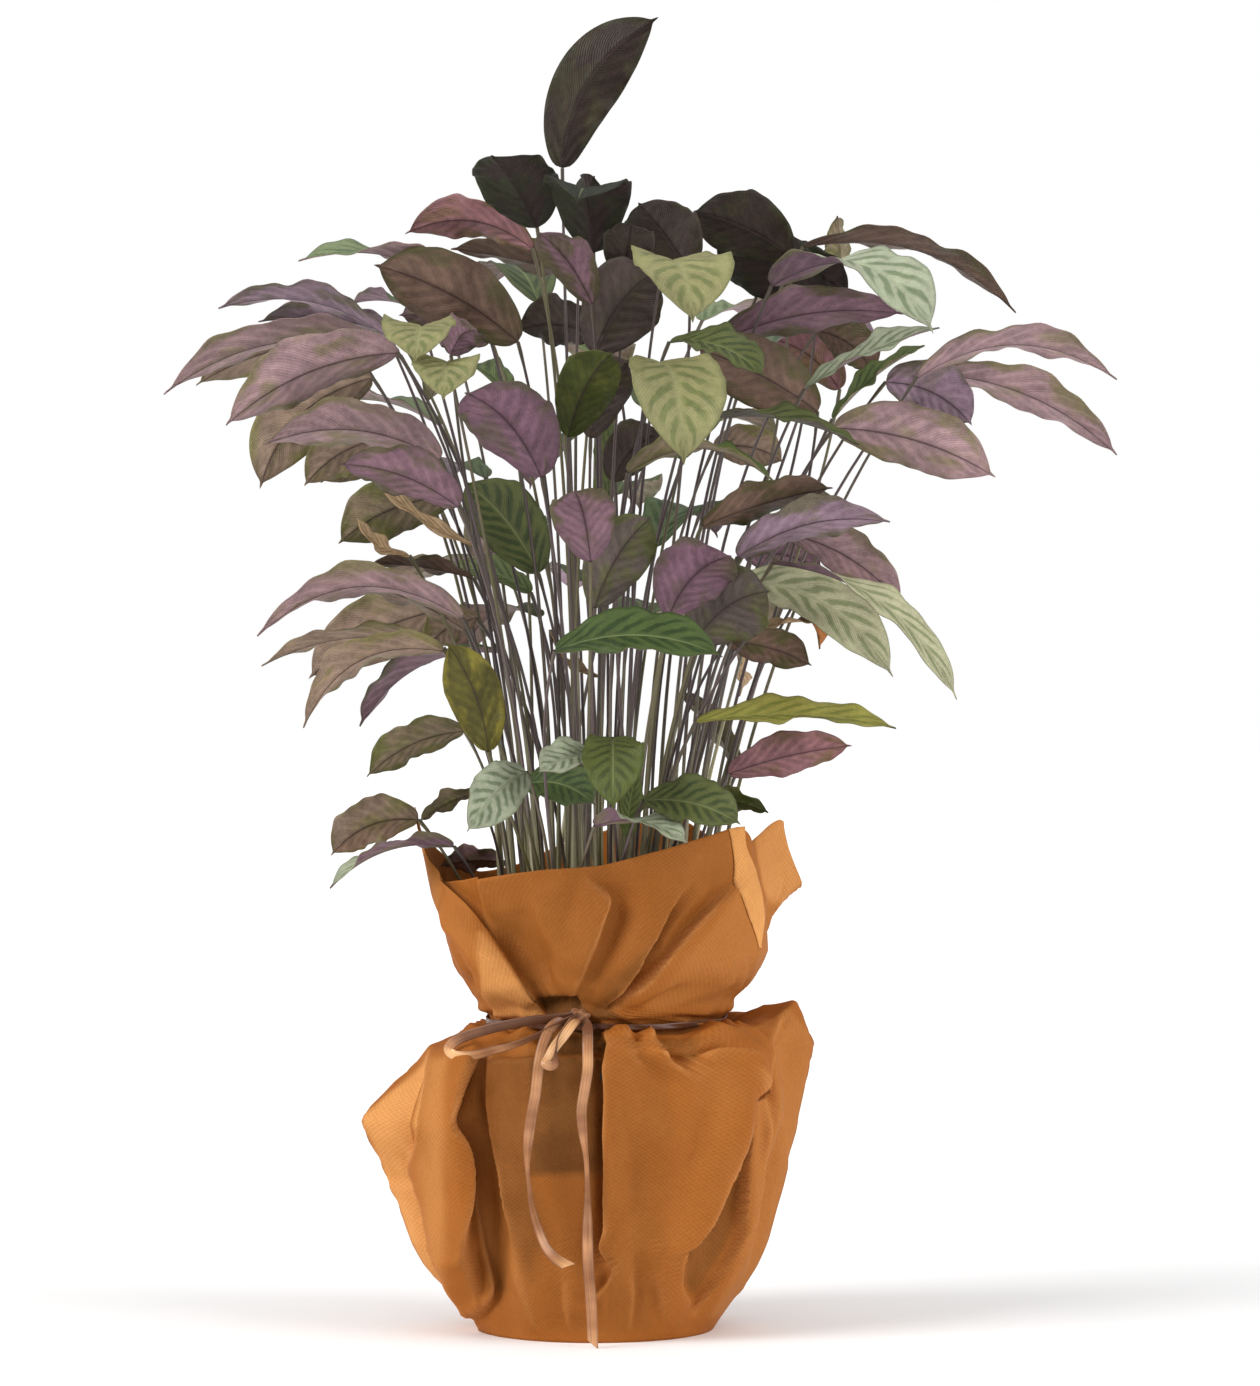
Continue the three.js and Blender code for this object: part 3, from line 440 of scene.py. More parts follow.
# Folds of the front, as routes of the elevation with how much of the fold there is: (x, z, amount).
# A lap lies over its right-hand side, seen along the route, for side 1, and over its left for -1:
# height, reach on the raised side, depth and reach on the sunken side, how far the edge juts out
laps = [
    # skirt: the left pleat's edge, its ridge, the panel's left edge and its top
    (-1, 17, 26, 8, 13, 4, [(-77, 187, .3), (-83, 172, .8), (-90, 155, 1), (-95, 141, 1), (-94, 134, 1),
        (-90, 125, 1), (-87, 110, 1), (-86, 86, 1), (-85, 60, 1), (-82, 44, .8), (-78, 28, .4),
        (-75, 18, .1)]),
    (-1, 6, 10, 5, 9, 3, [(-79, 90, .1), (-75, 58, .7), (-69, 27, 1), (-75, 14, 1), (-84, 8, .6),
        (-92, 10, .1)]),
    (1, 8, 14, 8, 15, 4, [(-112, 180, .2), (-117, 150, .5), (-121, 122, .8), (-122, 108, 1), (-115, 90, 1),
        (-105, 60, 1), (-95, 35, 1), (-86, 15, .8), (-80, 1, .3)]),
    (1, 6, 14, 6, 8, 2, [(-72, 184, .6), (-72, 170, 1), (-71, 152, 1), (-67, 127, 1), (-61, 104, 1),
        (-58, 86, .8), (-55, 60, .5), (-52, 40, .2)]),
    (-1, 2.5, 14, 6, 12, 1, [(-76, 181, .5), (-50, 182, .8), (-25, 181.5, 1), (-6, 181, 1), (8, 180, .6)]),
    # the crease beside the tails, and the big right panel's edge over the pocket
    (1, 6, 18, 10, 10, 3, [(5, 202, .3), (8, 190, .8), (8, 176, 1), (9, 150, 1), (9, 120, 1), (9, 90, 1),
        (9, 66, 1), (7, 50, .9), (12, 36, .7), (4, 24, .4), (-4, 16, .1)]),
    (-1, 12, 28, 3.5, 10, 5, [(119, 188, .4), (110, 166, .8), (102, 147, 1), (91, 118, 1), (79, 88, 1),
        (71, 68, 1), (61, 56, 1), (57, 44, 1), (56, 32, .8), (60, 20, .6), (66, 10, .3)]),
    (1, 8, 14, 6, 10, 3, [(106, 172, .5), (104, 150, 1), (102, 120, 1), (100, 95, 1), (98, 74, 1),
        (95, 56, .8), (84, 36, .6), (72, 20, .5), (65, 11, .3)]),
    (-1, 3, 8, 5, 8, 2, [(124, 204, .6), (119, 182, 1), (116, 167, 1), (119, 146, .9), (119, 126, 1),
        (115, 100, 1), (110, 76, .9), (103, 42, .4)]),
    (1, 2, 6, 3, 6, 1, [(106, 170, .2), (112, 163, 1), (119, 160, .6)]),
    (-1, 2, 6, 3, 6, 1, [(104, 130, .2), (111, 124, 1), (119, 127, .6)]),
    (1, 2, 7, 3, 7, 1, [(120, 150, .3), (128, 132, 1), (133, 112, .4)]),
    # the left wing's small creases
    (-1, 3.5, 9, 5, 9, 2, [(-146, 118, .2), (-138, 98, 1), (-126, 92, .9), (-116, 96, .3)]),
    (1, 3.5, 9, 5, 9, 2, [(-138, 132, .2), (-130, 118, .8), (-124, 100, .3)]),
    (-1, 3.5, 8, 4, 8, 2, [(-118, 62, .2), (-106, 50, 1), (-98, 34, .6)]),
    # creases that fan out of the foot
    (1, 3.5, 8, 4, 8, 2, [(-40, 2, .3), (-45, 18, 1), (-52, 36, .8), (-56, 56, .2)]),
    (-1, 3.5, 8, 4, 8, 2, [(-18, 2, .3), (-20, 20, .9), (-24, 42, .6), (-30, 64, .2)]),
    (1, 3.5, 9, 4, 9, 2, [(24, 2, .3), (26, 22, .9), (24, 46, .6), (28, 74, .2)]),
    (-1, 3.5, 8, 5, 8, 2, [(46, 4, .3), (44, 20, 1), (40, 40, .6), (42, 62, .2)]),
    # short pleats below the ribbon on the right
    (-1, 6, 12, 9, 15, 3, [(30, 205, .3), (39, 197, .8), (46, 186, 1), (54, 176, 1), (62, 172, .7)]),
    (-1, 5, 14, 8, 12, 2, [(61, 173, .4), (69, 176, .9), (74, 184, 1), (86, 188, .8), (104, 186, .3)]),
    (-1, 4, 9, 6, 7, 2, [(55, 207.5, .4), (75, 204, 1), (90, 202, 1), (105, 200, 1), (113, 194, .8),
        (118, 183, .4)]),
    (-1, 5, 9, 7, 8, 2, [(14, 206, .3), (22, 199, .8), (26, 188, .7), (30, 176, .3)]),
    # collar: the left flap's outer fold, the panel's left edge, the kink, the tuck, the right folds
    (1, 4, 14, 6, 11, 2, [(-104, 279, .4), (-98, 267, 1), (-88, 251, 1), (-78, 237, 1), (-68, 221, 1),
        (-65, 211, .6)]),
    (1, 3, 12, 4, 9, 1, [(-80, 302, 1), (-77, 287, 1), (-73, 272, .7), (-66, 258, .2)]),
    (-1, 7, 24, 6, 18, 2, [(-6, 303, .1), (4, 294, .7), (10, 287, 1), (6, 275, 1), (2, 262, .9),
        (-5, 245, .7), (-12, 228, .3)]),
    (1, 4, 14, 10, 13, 3, [(-44, 217, .3), (-36, 222, .9), (-24, 224, 1), (-13, 224, 1), (-9, 219, .8),
        (-10, 213, .3)]),
    (-1, 9, 22, 12, 15, 4, [(62, 295, .2), (50, 284, .7), (40, 268, 1), (32, 254, 1), (24, 240, 1),
        (15, 226, 1), (7, 216, .5)]),
    (1, 6, 20, 6, 12, 2, [(100, 300, .3), (83, 285, .8), (66, 268, 1), (50, 251, 1), (35, 235, 1),
        (20, 222, 1), (9, 214, .4)]),
]
# soft ridges and hollows: height, half width, route
swells = [
    (-4.5, 8, [(-96, 166, .3), (-105, 148, 1), (-112, 130, 1), (-118, 112, .5)]),
    (-4, 9, [(-80, 184, .4), (-84, 155, .8), (-82, 128, 1), (-75, 104, 1), (-71, 80, .9), (-62, 40, .6),
        (-54, 4, .3)]),
    (3.5, 9, [(-68, 118, .4), (-60, 85, 1), (-54, 55, 1), (-46, 26, .8), (-38, 0, .4)]),
    (3, 5, [(23, 138, .3), (18, 118, .8), (15, 90, 1), (15, 62, 1), (14, 38, .6)]),
    (-2.5, 7, [(30, 128, .4), (28, 100, 1), (28, 62, .5)]),
    (-4, 8, [(32, 182, .5), (41, 172, 1), (50, 164, .4)]),
    (3, 9, [(24, 168, .3), (31, 146, 1), (38, 122, .4)]),
    (-6, 5, [(117, 166, .7), (115, 142, 1), (113, 120, .8), (111, 106, .2)]),
    (3, 4, [(124, 168, .6), (121, 150, 1), (119, 134, 1), (115, 112, .4)]),
    (-5, 9, [(131, 197, .6), (129, 181, 1), (126, 166, .5)]),
    (-3, 6, [(-140, 116, .5), (-132, 100, 1), (-126, 84, .4)]),
    (3, 5, [(-142, 108, .4), (-128, 96, .8), (-116, 92, .3)]),
    (-6, 14, [(-56, 276, .4), (-53, 258, 1), (-47, 240, .8)]),
    (-2.5, 5, [(-33, 264, .3), (-31, 250, 1), (-34, 237, .5)]),
    (-5, 6, [(22, 243, .3), (13, 236, .9), (4, 227, 1), (-3, 217, .7)]),
    (-3, 9, [(84, 308, .5), (84, 292, 1), (70, 280, .8), (52, 262, .5)]),
    (2.5, 12, [(58, 232, .3), (76, 244, 1), (94, 262, .5)]),
    (-2.5, 7, [(60, 216, .3), (80, 221, 1), (100, 226, .4)]),
    (-5, 6, [(-96, 262, .6), (-89, 249, 1), (-81, 238, .5)]),
    (-4, 4, [(-86, 236, .4), (-82, 231, 1), (-76, 228, .3)]),
    (3, 4, [(-100, 52, .3), (-92, 49, 1), (-83, 53, .8)]),
    (2.5, 5, [(-30, 20, .3), (-16, 12, 1), (-4, 11, .4)]),
    (2, 8, [(60, 120, .3), (66, 150, 1), (80, 170, .3)]),
    (3, 6, [(20, 196, .3), (27, 172, 1), (30, 152, 1), (34, 134, .6), (36, 100, .3)]),
    (-3, 6, [(18, 170, .4), (20, 140, 1), (22, 100, .8), (20, 70, .3)]),
    (3, 7, [(60, 168, .4), (56, 140, 1), (50, 100, 1), (42, 60, .8), (36, 20, .3)]),
    (-3, 7, [(74, 176, .4), (72, 150, 1), (64, 110, 1), (54, 80, .5)]),
    (2.5, 6, [(92, 170, .4), (88, 150, 1), (80, 120, .8), (72, 100, .3)]),
    (2, 6, [(-48, 96, .3), (-44, 70, 1), (-38, 40, .8), (-34, 10, .4)]),
    (-2, 6, [(-30, 96, .3), (-26, 60, 1), (-22, 20, .5)]),
    (4.5, 7, [(-40, 290, .3), (-30, 268, 1), (-22, 240, .8), (-18, 226, .3)]),
    (-5, 6, [(22, 300, .3), (18, 280, 1), (12, 256, .8), (2, 238, .3)]),
    (4, 6, [(36, 300, .3), (32, 280, 1), (24, 256, .7), (14, 238, .3)]),
    (-4, 6, [(-58, 300, .3), (-50, 280, .8), (-42, 258, 1), (-34, 236, .6)]),
    (3, 8, [(60, 322, .3), (54, 304, 1), (46, 286, .5)]),
    (-3, 7, [(-6, 306, .3), (-14, 290, 1), (-18, 272, .5)]),
    # small gathers above and below the ribbon
    (-5, 4, [(-8, 206, .8), (-4, 198, 1), (2, 190, .8), (6, 182, .3)]),
    (-4, 3.5, [(-30, 206, .6), (-34, 196, 1), (-40, 188, .5)]),
    (3, 3.5, [(-20, 205, .5), (-22, 195, 1), (-24, 186, .5)]),
    (-4, 3.5, [(-52, 204, .6), (-58, 195, 1), (-66, 188, .4)]),
    (3.5, 4, [(-42, 205, .5), (-46, 196, 1), (-52, 188, .4)]),
    (-4, 4, [(20, 206, .5), (26, 199, 1), (34, 190, .6)]),
    (3.5, 4, [(32, 206, .5), (40, 199, 1), (50, 190, .5)]),
    (-5, 4, [(50, 206, .6), (58, 199, 1), (66, 190, .5)]),
    (3, 5, [(70, 205, .4), (80, 198, 1), (92, 190, .4)]),
    (-4, 3, [(4, 214, .6), (10, 224, 1), (20, 238, .5)]),
    (3, 3, [(-2, 214, .5), (2, 226, 1), (8, 240, .4)]),
    (-4, 3, [(26, 213, .6), (40, 220, 1), (60, 230, .4)]),
    (3, 3, [(34, 212, .5), (54, 217, 1), (78, 225, .4)]),
    (-4, 3, [(-34, 214, .6), (-38, 224, 1), (-44, 236, .5)]),
    (-3, 3, [(-50, 212, .6), (-58, 220, 1), (-68, 230, .4)]),
]
# Where the cloth is painted darker, above 0, or paler, below 0: partly where it lies double or single,
# mostly painted shade in hollows and under the ribbon and painted light where it is lit. Each row gives
# how much, the softness of the edge and the outline in the elevation. A later outline counts over an earlier
# one.
clothShadeAndLayers = [
    # the skirt's middle, double and in painted shade; painted shade in its left hollow, the pocket, the
    # gather under the knot, the pleats under the ribbon on the right and beside the crease; painted light on
    # the right and left wings and the left pleat
    (0.3, 9, [(-66, -5), (40, -5), (56, 110), (52, 176), (20, 196), (-80, 190), (-76, 90)]),
    (0.5, 3.5, [(-84, 182), (-74, 182), (-73, 150), (-69, 127), (-63, 104), (-60, 80), (-57, 50),
        (-62, 24), (-72, 20), (-78, 42), (-84, 80), (-86, 110), (-93, 138), (-88, 155)]),
    (0.6, 3, [(111, 172), (103, 146), (100, 120), (99, 92), (94, 66), (90, 54), (77, 34), (68, 18),
        (61, 28), (60, 50), (72, 68), (80, 88), (92, 118), (103, 150)]),
    (0.8, 3, [(-34, 206), (4, 206), (7, 190), (-6, 184), (-24, 184), (-40, 190)]),
    (-0.25, 3, [(108, 172), (106, 120), (103, 76), (92, 40), (76, 6), (90, 6), (120, 40), (146, 130),
        (144, 200), (124, 214)]),
    (0.5, 4, [(36, 206), (46, 190), (56, 180), (64, 175), (72, 182), (71, 196), (60, 204)]),
    (0.45, 3, [(-4, 103), (9, 103), (9, 60), (5, 44), (-2, 40), (-4, 70)]),
    (-0.6, 3, [(-156, 142), (-110, 184), (-118, 140), (-122, 108), (-105, 60), (-88, 18), (-120, 30)]),
    (-0.35, 5, [(-110, 180), (-94, 182), (-100, 140), (-100, 100), (-94, 60), (-90, 24), (-104, 60),
        (-118, 110), (-116, 150)]),
    # the collar's left flap, paler at its top and a little darker below, its turned-out right edge, paler,
    # and the flap at the back right, paler: the paler parts are painted light
    (-0.3, 2, [(-124, 352), (-112, 352), (-97, 303), (-104, 280), (-113, 292)]),
    (0.14, 1.5, [(-113, 292), (-104, 280), (-70, 237), (-62, 208), (-84, 208), (-110, 250), (-122, 290)]),
    (-0.16, 1.5, [(-97, 304), (-34, 210), (-62, 209), (-70, 237), (-103, 278)]),
    (-0.5, 2, [(104, 345), (128, 345), (140, 292), (122, 270), (112, 300)]),
    # the recess behind the tails: darker as double cloth and as painted shade
    (0.78, 1.8, [(-44, 181), (8, 181), (9, 103), (-45, 103)]),
    (0.6, 5, [(-72, 181), (-44, 181), (-45, 103), (-34, 60), (-44, 30), (-54, 60), (-66, 120)]),
    # the collar's front panel, darker as double cloth and painted shade, with painted light on its right
    # part, painted shade in its folds and where the cloth is drawn in at the knot, and painted light left of
    # the knot
    (0.36, 2, [(-79, 300), (-22, 313), (97, 345), (90, 325), (97, 298), (50, 251), (10, 214), (-30, 208),
        (-66, 262)]),
    (-0.22, 4, [(96, 297), (124, 284), (128, 262), (112, 232), (92, 216), (30, 214), (54, 244), (76, 268)]),
    (0.6, 4, [(48, 276), (60, 284), (42, 252), (23, 227), (8, 211), (-3, 212), (12, 236), (19, 246)]),
    (0.7, 2, [(-10, 214), (12, 213), (26, 208), (-8, 206)]),
    (0.95, 2.5, [(-40, 222), (-26, 225), (-12, 224), (-7, 216), (-8, 206), (-34, 206)]),
    (-0.5, 2, [(-79, 264), (-75, 264), (-37, 218), (-32, 208), (-66, 208)]),
]
# corners pulled out to a point: x, z, how far across and up, and how wide
peaks = [
    (-152, 139, -3.5, 0, 8), (130, 212, 5, 8, 8), (141, 190, 5, -1, 8), (124, 336, 3, 5, 7),
    (136, 296, 6, -1, 8), (-108, 186, -3, 3, 6), (106, 224, 2, -1, 8), (-118, 345, -2, 4, 5),
]
# the left flap lies over the front panel, and its free edge runs down to the knot
flap = {
    "edge": [(-118, 352), (-113, 325), (-106, 312), (-97, 300), (-79, 276), (-60, 248), (-44, 223),
             (-30, 209), (-27, 203)],
    "searched": (0.3, 6.5), "rows": 66, "columns": 56,
    "from": 6.95, "full": 7.6, "lift": 0.5, "spread": 6, "power": 2,
}
# the turned-out edge at the right of the collar, painted pale as lit
lip = {
    "inner": [(90, 338), (92, 323), (95, 295), (100, 283), (106, 270), (110, 258)],
    "outer": [(92, 340), (99, 323), (104, 310), (108, 296), (112, 276), (111, 258)],
    "innerSearched": (10, 11.6), "outerSearched": (11, 12.3), "least": 0.1, "rows": 30, "columns": 9,
    "from": 8.05, "full": 8.4, "lift": 0.7, "spread": 2.5, "power": 1, "pale": 0.7,
}


def foldLine(row):
    low, middle, high, shoulder, over, neck, collar, rim = row
    levels = [(low[0], wrap["foot"], 0)]
    levels += [(*pair, height) for pair, height in zip((low, middle, high), foldHeights)]
    levels += [shoulder, over, *((*neck, height) for height in neckHeights)]
    return np.array([*levels, (*collar, collarHeight), rim], float)


# three more lines at either end, so that the last meets the first
spare = 3
foldLines = np.array([foldLine(row) for row in folds])
fullTurn = np.array([360.0, 0, 0])
foldLines = np.concatenate([foldLines[-spare:] - fullTurn, foldLines, foldLines + fullTurn])


def clothAt(us, vs):
    # the cloth's surface: a row of fold lines us for each level of vs
    points = []
    for row, up in zip(us, catmullWeights(foldLines.shape[1], vs, wrap["crisp"])):
        level = np.einsum("k,fkc->fc", up, foldLines)
        weights = catmullWeights(len(foldLines), row % len(folds) + spare, wrap["crisp"])
        turn, radius, height = (weights @ level).T
        turn = np.radians(turn)
        points.append(np.stack([radius * np.sin(turn), -radius * np.cos(turn), height], axis=-1))
    return np.array(points)


def unit(vectors):
    return vectors / np.maximum(np.linalg.norm(vectors, axis=-1, keepdims=True), 1e-9)


def normalsOf(points):
    return unit(np.cross(np.gradient(points, axis=1), np.gradient(points, axis=0)))


def facingFront(normals):
    # 1 where the cloth faces the front, 0 from a little past its side
    return smoothstep((0.2 - normals[..., 1]) / 0.35)


def settled(field, rounds):
    # evened out along its first axis, round by round
    for _ in range(rounds):
        field[1:-1] = (field[:-2] + 2 * field[1:-1] + field[2:]) / 4
    return field


def drawn(route, spacing=0.6):
    # a route of the elevation as close points, with how much of the fold there is at each
    table = np.array(route, float)
    reach = np.linalg.norm(np.diff(table[:, :2], axis=0), axis=1).sum()
    table = catmullWeights(len(table), np.linspace(0, len(table) - 1, max(int(reach / spacing), 6))) @ table
    return table[:, :2], np.clip(table[:, 2], 0, 1.05)


def beside(spots, facing, line, amount, reach):
    # how far each spot of the elevation is from a line, on which side, and how much of it it feels
    lowest, highest = line.min(axis=0) - reach, line.max(axis=0) + reach
    picked = np.nonzero(((spots > lowest) & (spots < highest)).all(axis=-1) & (facing > 0))
    here = spots[picked]
    nearest = ((here[:, None, :] - line[None, :, :]) ** 2).sum(axis=-1).argmin(axis=1)
    way = np.gradient(line, axis=0)
    way /= np.linalg.norm(way, axis=1)[:, None]
    offset, along = here - line[nearest], way[nearest]
    side = np.stack([-along[:, 1], along[:, 0]], axis=1)        # to the left of the way it runs
    inside = np.exp(-((offset * along).sum(axis=1) / 3) ** 2)
    return picked, (offset * side).sum(axis=1), side, amount[nearest] * inside * facing[picked]


def lapHeight(d, height, reach, depth, sink, soft):
    # how high a lap stands at each distance from its edge, and on which side of it that is
    raised = smoothstep((d / soft + 1) / 2)
    sunken = depth * (1 - raised) * (1 - smoothstep(-d / sink))
    return height * raised * (1 - smoothstep(d / reach)) - sunken, raised


def foldShift(points, normals):
    # how far the folds move each point of the cloth, and the painted highlight along the edge of a lap
    shift, hemHighlight = np.zeros_like(points), np.zeros(points.shape[:2])
    spots, facing = elevationOf(points), facingFront(normals)
    for side, height, reach, depth, sink, jut, route in laps:
        picked, d, across, felt = beside(spots, facing, *drawn(route), max(reach, sink))
        d = d * side
        soft = wrap["soften"] + max(0, wrap["small"] - height) * wrap["smallSoft"]
        up, raised = lapHeight(d, height, reach, depth, sink, soft)
        out = -side * jut * raised * (1 - smoothstep(d / (0.6 * reach))) * felt
        normal = normals[picked]
        slide = np.stack([across[:, 0], np.zeros(len(d)), across[:, 1]], axis=1)
        slide -= normal * (slide * normal).sum(axis=1)[:, None]
        shift[picked] += normal * (up * felt)[:, None] + slide * out[:, None]
        # a painted highlight along the lap's raised edge
        edge = felt * np.exp(-((d - wrap["highlightAt"]) / wrap["highlightWidth"]) ** 2) * min(height / wrap["small"], 1)
        hemHighlight[picked] = np.maximum(hemHighlight[picked], edge)
    for height, width, route in swells:
        picked, d, _, felt = beside(spots, facing, *drawn(route), 2.4 * width)
        shift[picked] += normals[picked] * (height * np.exp(-(d / width) ** 2) * felt)[:, None]
    for x, z, outX, outZ, width in peaks:
        pull = np.exp(-np.hypot(spots[..., 0] - x, spots[..., 1] - z) / width)
        shift += pull[..., None] * np.array([outX, 0, outZ])
    return shift, hemHighlight


# ranges for the pleats of the sides and the back: one set in the skirt, one in the collar
backPleat = {
    "start": 15.3, "apart": 0.84, "stray": 0.15, "fadeIn": 0.5, "fadeOut": 0.7,
    "highlightAt": 1, "highlightWidth": 1.5, "small": 8,
}
skirtPleat = {
    "height": (3, 7), "reach": (14, 24), "depth": (3, 6), "sink": (9, 15),
    "aside": 0, "wander": 0.3, "levels": (0.3, 1.3, 2.5, 3.8, 5.3)}
collarPleat = {
    "height": (2, 5), "reach": (12, 20), "depth": (2, 5), "sink": (8, 13),
    "aside": 0.4, "wander": 0.4, "levels": (7.05, 7.5, 8.1, 8.9)}


def backFolds():
    # as laps, but with fold lines and levels for their routes
    dice = random.Random(wrap["seed"])
    made = []
    for k in range(wrap["pleats"]):
        stray = dice.uniform(-backPleat["stray"], backPleat["stray"])
        u = backPleat["start"] + k * backPleat["apart"] + stray
        for kind in (skirtPleat, collarPleat):
            side = dice.choice((-1, 1))
            sizes = [dice.uniform(*kind[size]) for size in ("height", "reach", "depth", "sink")]
            wander = kind["wander"]
            route = [(u + kind["aside"] + dice.uniform(-wander, wander), v) for v in kind["levels"]]
            made.append((side, *sizes, route))
    return made


def besidePleat(us, vs, route):
    # how far each point of the grid is from a pleat, and how much of the pleat there is
    places, heights = np.array(route).T
    started = smoothstep((vs - heights[0]) / backPleat["fadeIn"])
    amount = started * smoothstep((heights[-1] - vs) / backPleat["fadeOut"])
    half = len(folds) / 2
    away = (us - np.interp(vs, heights, places)[:, None] + half) % len(folds) - half
    return away * wrap["lineSpan"], amount[:, None]


def pleatShift(us, vs, normals):
    shift, hemHighlight = np.zeros_like(normals), np.zeros(us.shape)
    for side, height, reach, depth, sink, route in backPleats:
        d, amount = besidePleat(us, vs, route)
        d = d * side
        up, _ = lapHeight(d, height, reach, depth, sink, 2 * wrap["soften"])
        shift += normals * (up * amount)[..., None]
        # a painted highlight along the pleat's edge
        edge = amount * np.exp(-((d - backPleat["highlightAt"]) / backPleat["highlightWidth"]) ** 2)
        hemHighlight = np.maximum(hemHighlight, edge * min(height / backPleat["small"], 1))
    return shift, hemHighlight


def ridge(x, y, z):
    # sharp-crested noise between 0 and 1
    return 1 - min(abs(noise.noise(Vector((x, y, z)))) * 2.6, 1.0)


def crumpleAt(point, level):
    # the gather's small pleats, the lips of cloth beside the ribbon, and crumples where it is free
    x, y, z = (float(value) for value in point)
    fromTie = abs(level - wrapLevels["tied"])
    tied = ease(0.5, 1.1, fromTie)
    nearNeck = tied * (1 - ease(0.8, 2.0, fromTie))
    free = ease(0.2, 1.2, level) * tied
    turn = math.atan2(x, -y) + 0.3 * noise.noise(Vector((x * 0.02, z * 0.02, 5.0)))
    pleat = ridge(turn * crumple["pleat"], z * 0.008, 2.0)
    soft = ridge(x * crumple["soft"], y * crumple["soft"], z * 0.012 + 9.0)
    facet = ridge(x * crumple["facet"], y * crumple["facet"], z * 0.03 + 3.0)
    lips = sum(math.exp(-((level - place) / half) ** 2) for place, half in crumple["lips"])
    return (wrap["lips"] * lips * (0.7 + 0.6 * pleat) + wrap["gather"] * nearNeck * (pleat - 0.5)
            + wrap["crumple"] * free * (1.1 * (soft - 0.5) + 0.6 * (facet - 0.5)))


backPleats = backFolds()


def crowded(us, vs):
    # the same columns, drawn together along the sharp folds
    points = clothAt(us, vs)
    spots, facing = elevationOf(points), facingFront(normalsOf(points))
    crowd = np.ones(us.shape)
    for *_, route in laps:
        picked, d, _, felt = beside(spots, facing, *drawn(route), 3 * wrap["close"])
        crowd[picked] += wrap["crowd"] * np.exp(-(d / wrap["close"]) ** 2) * felt
    for *_, route in backPleats:
        d, amount = besidePleat(us, vs, route)
        crowd += wrap["crowd"] * np.exp(-(d / (2 * wrap["close"])) ** 2) * amount
    for field, rounds in zip((crowd, crowd.T), wrap["crowdSoft"]):
        settled(field, rounds)
    run = np.cumsum((crowd[:, 1:] + crowd[:, :-1]) / 2, axis=1)
    run = np.concatenate([np.zeros((len(vs), 1)), run], axis=1)
    count = us.shape[1]
    return np.array([np.interp(np.linspace(0, reach[-1], count), reach, row) for reach, row in zip(run, us)])


def creased(points, normals):
    # stiff cloth bends along creases: like-facing neighbours flatten, and what parts them stays sharp
    high, wide = points.shape[0] - 1, points.shape[1] - 1
    facets = unit(np.cross(points[1:, 1:] - points[:-1, :-1], points[1:, :-1] - points[:-1, 1:]))
    steps = [(j, i) for j in range(3) for i in range(3)]
    for _ in range(wrap["creaseRounds"]):
        wider = np.pad(facets, ((1, 1), (1, 1), (0, 0)), "edge")
        total = np.zeros_like(facets)
        for j, i in steps:
            near = wider[j:j + high, i:i + wide]
            total += near * np.exp(((near * facets).sum(axis=-1) - 1) / wrap["creaseAngle"])[..., None]
        facets = unit(total)
    start = points.copy()
    for _ in range(2 * wrap["creaseRounds"]):
        centres = (points[:-1, :-1] + points[1:, :-1] + points[:-1, 1:] + points[1:, 1:]) / 4
        pull = np.zeros_like(points)
        for j, i in ((0, 0), (0, 1), (1, 0), (1, 1)):
            corner = points[j:j + high, i:i + wide]
            off = (facets * (centres - corner)).sum(axis=-1)[..., None]
            pull[j:j + high, i:i + wide] += facets * off / 4
        pull[0] = pull[-1] = pull[:, 0] = pull[:, -1] = 0
        points = points + normals * (pull * normals).sum(axis=-1)[..., None]
    move = settled(((points - start) * normals).sum(axis=-1)[..., None], 3)
    return start + normals * np.clip(move, -wrap["creaseMost"], wrap["creaseMost"])


def inPolygon(spots, corners, soft):
    # 1 inside an outline, 0 outside, with a soft edge
    corners = np.array(corners, float)
    inside = np.zeros(len(spots), bool)
    nearest = np.full(len(spots), 1e9)
    for a, b in zip(corners, np.roll(corners, -1, axis=0)):
        crosses = (a[1] > spots[:, 1]) != (b[1] > spots[:, 1])
        rise = b[1] - a[1] if b[1] != a[1] else 1e-9
        inside ^= crosses & (spots[:, 0] < (b[0] - a[0]) * (spots[:, 1] - a[1]) / rise + a[0])
        t = np.clip(((spots - a) @ (b - a)) / ((b - a) @ (b - a)), 0, 1)
        nearest = np.minimum(nearest, np.linalg.norm(spots - a - t[:, None] * (b - a), axis=1))
    return smoothstep(0.5 + np.where(inside, nearest, -nearest) / (2 * soft))


def layersAndShadeAt(points, normals):
    # how much darker, above 0, or paler, below 0, the cloth is painted at each point: partly for double and
    # single layers, partly painted shade and painted light
    spots = elevationOf(points).reshape(-1, 2)
    frontal = smoothstep(0.5 - normals.reshape(-1, 3)[:, 1] * 2)
    layerAndShade = np.zeros(len(spots))
    for amount, soft, outline in clothShadeAndLayers:
        inside = inPolygon(spots, outline, soft)
        layerAndShade = layerAndShade * (1 - inside) + amount * inside
    return (layerAndShade * frontal).reshape(points.shape[:2])


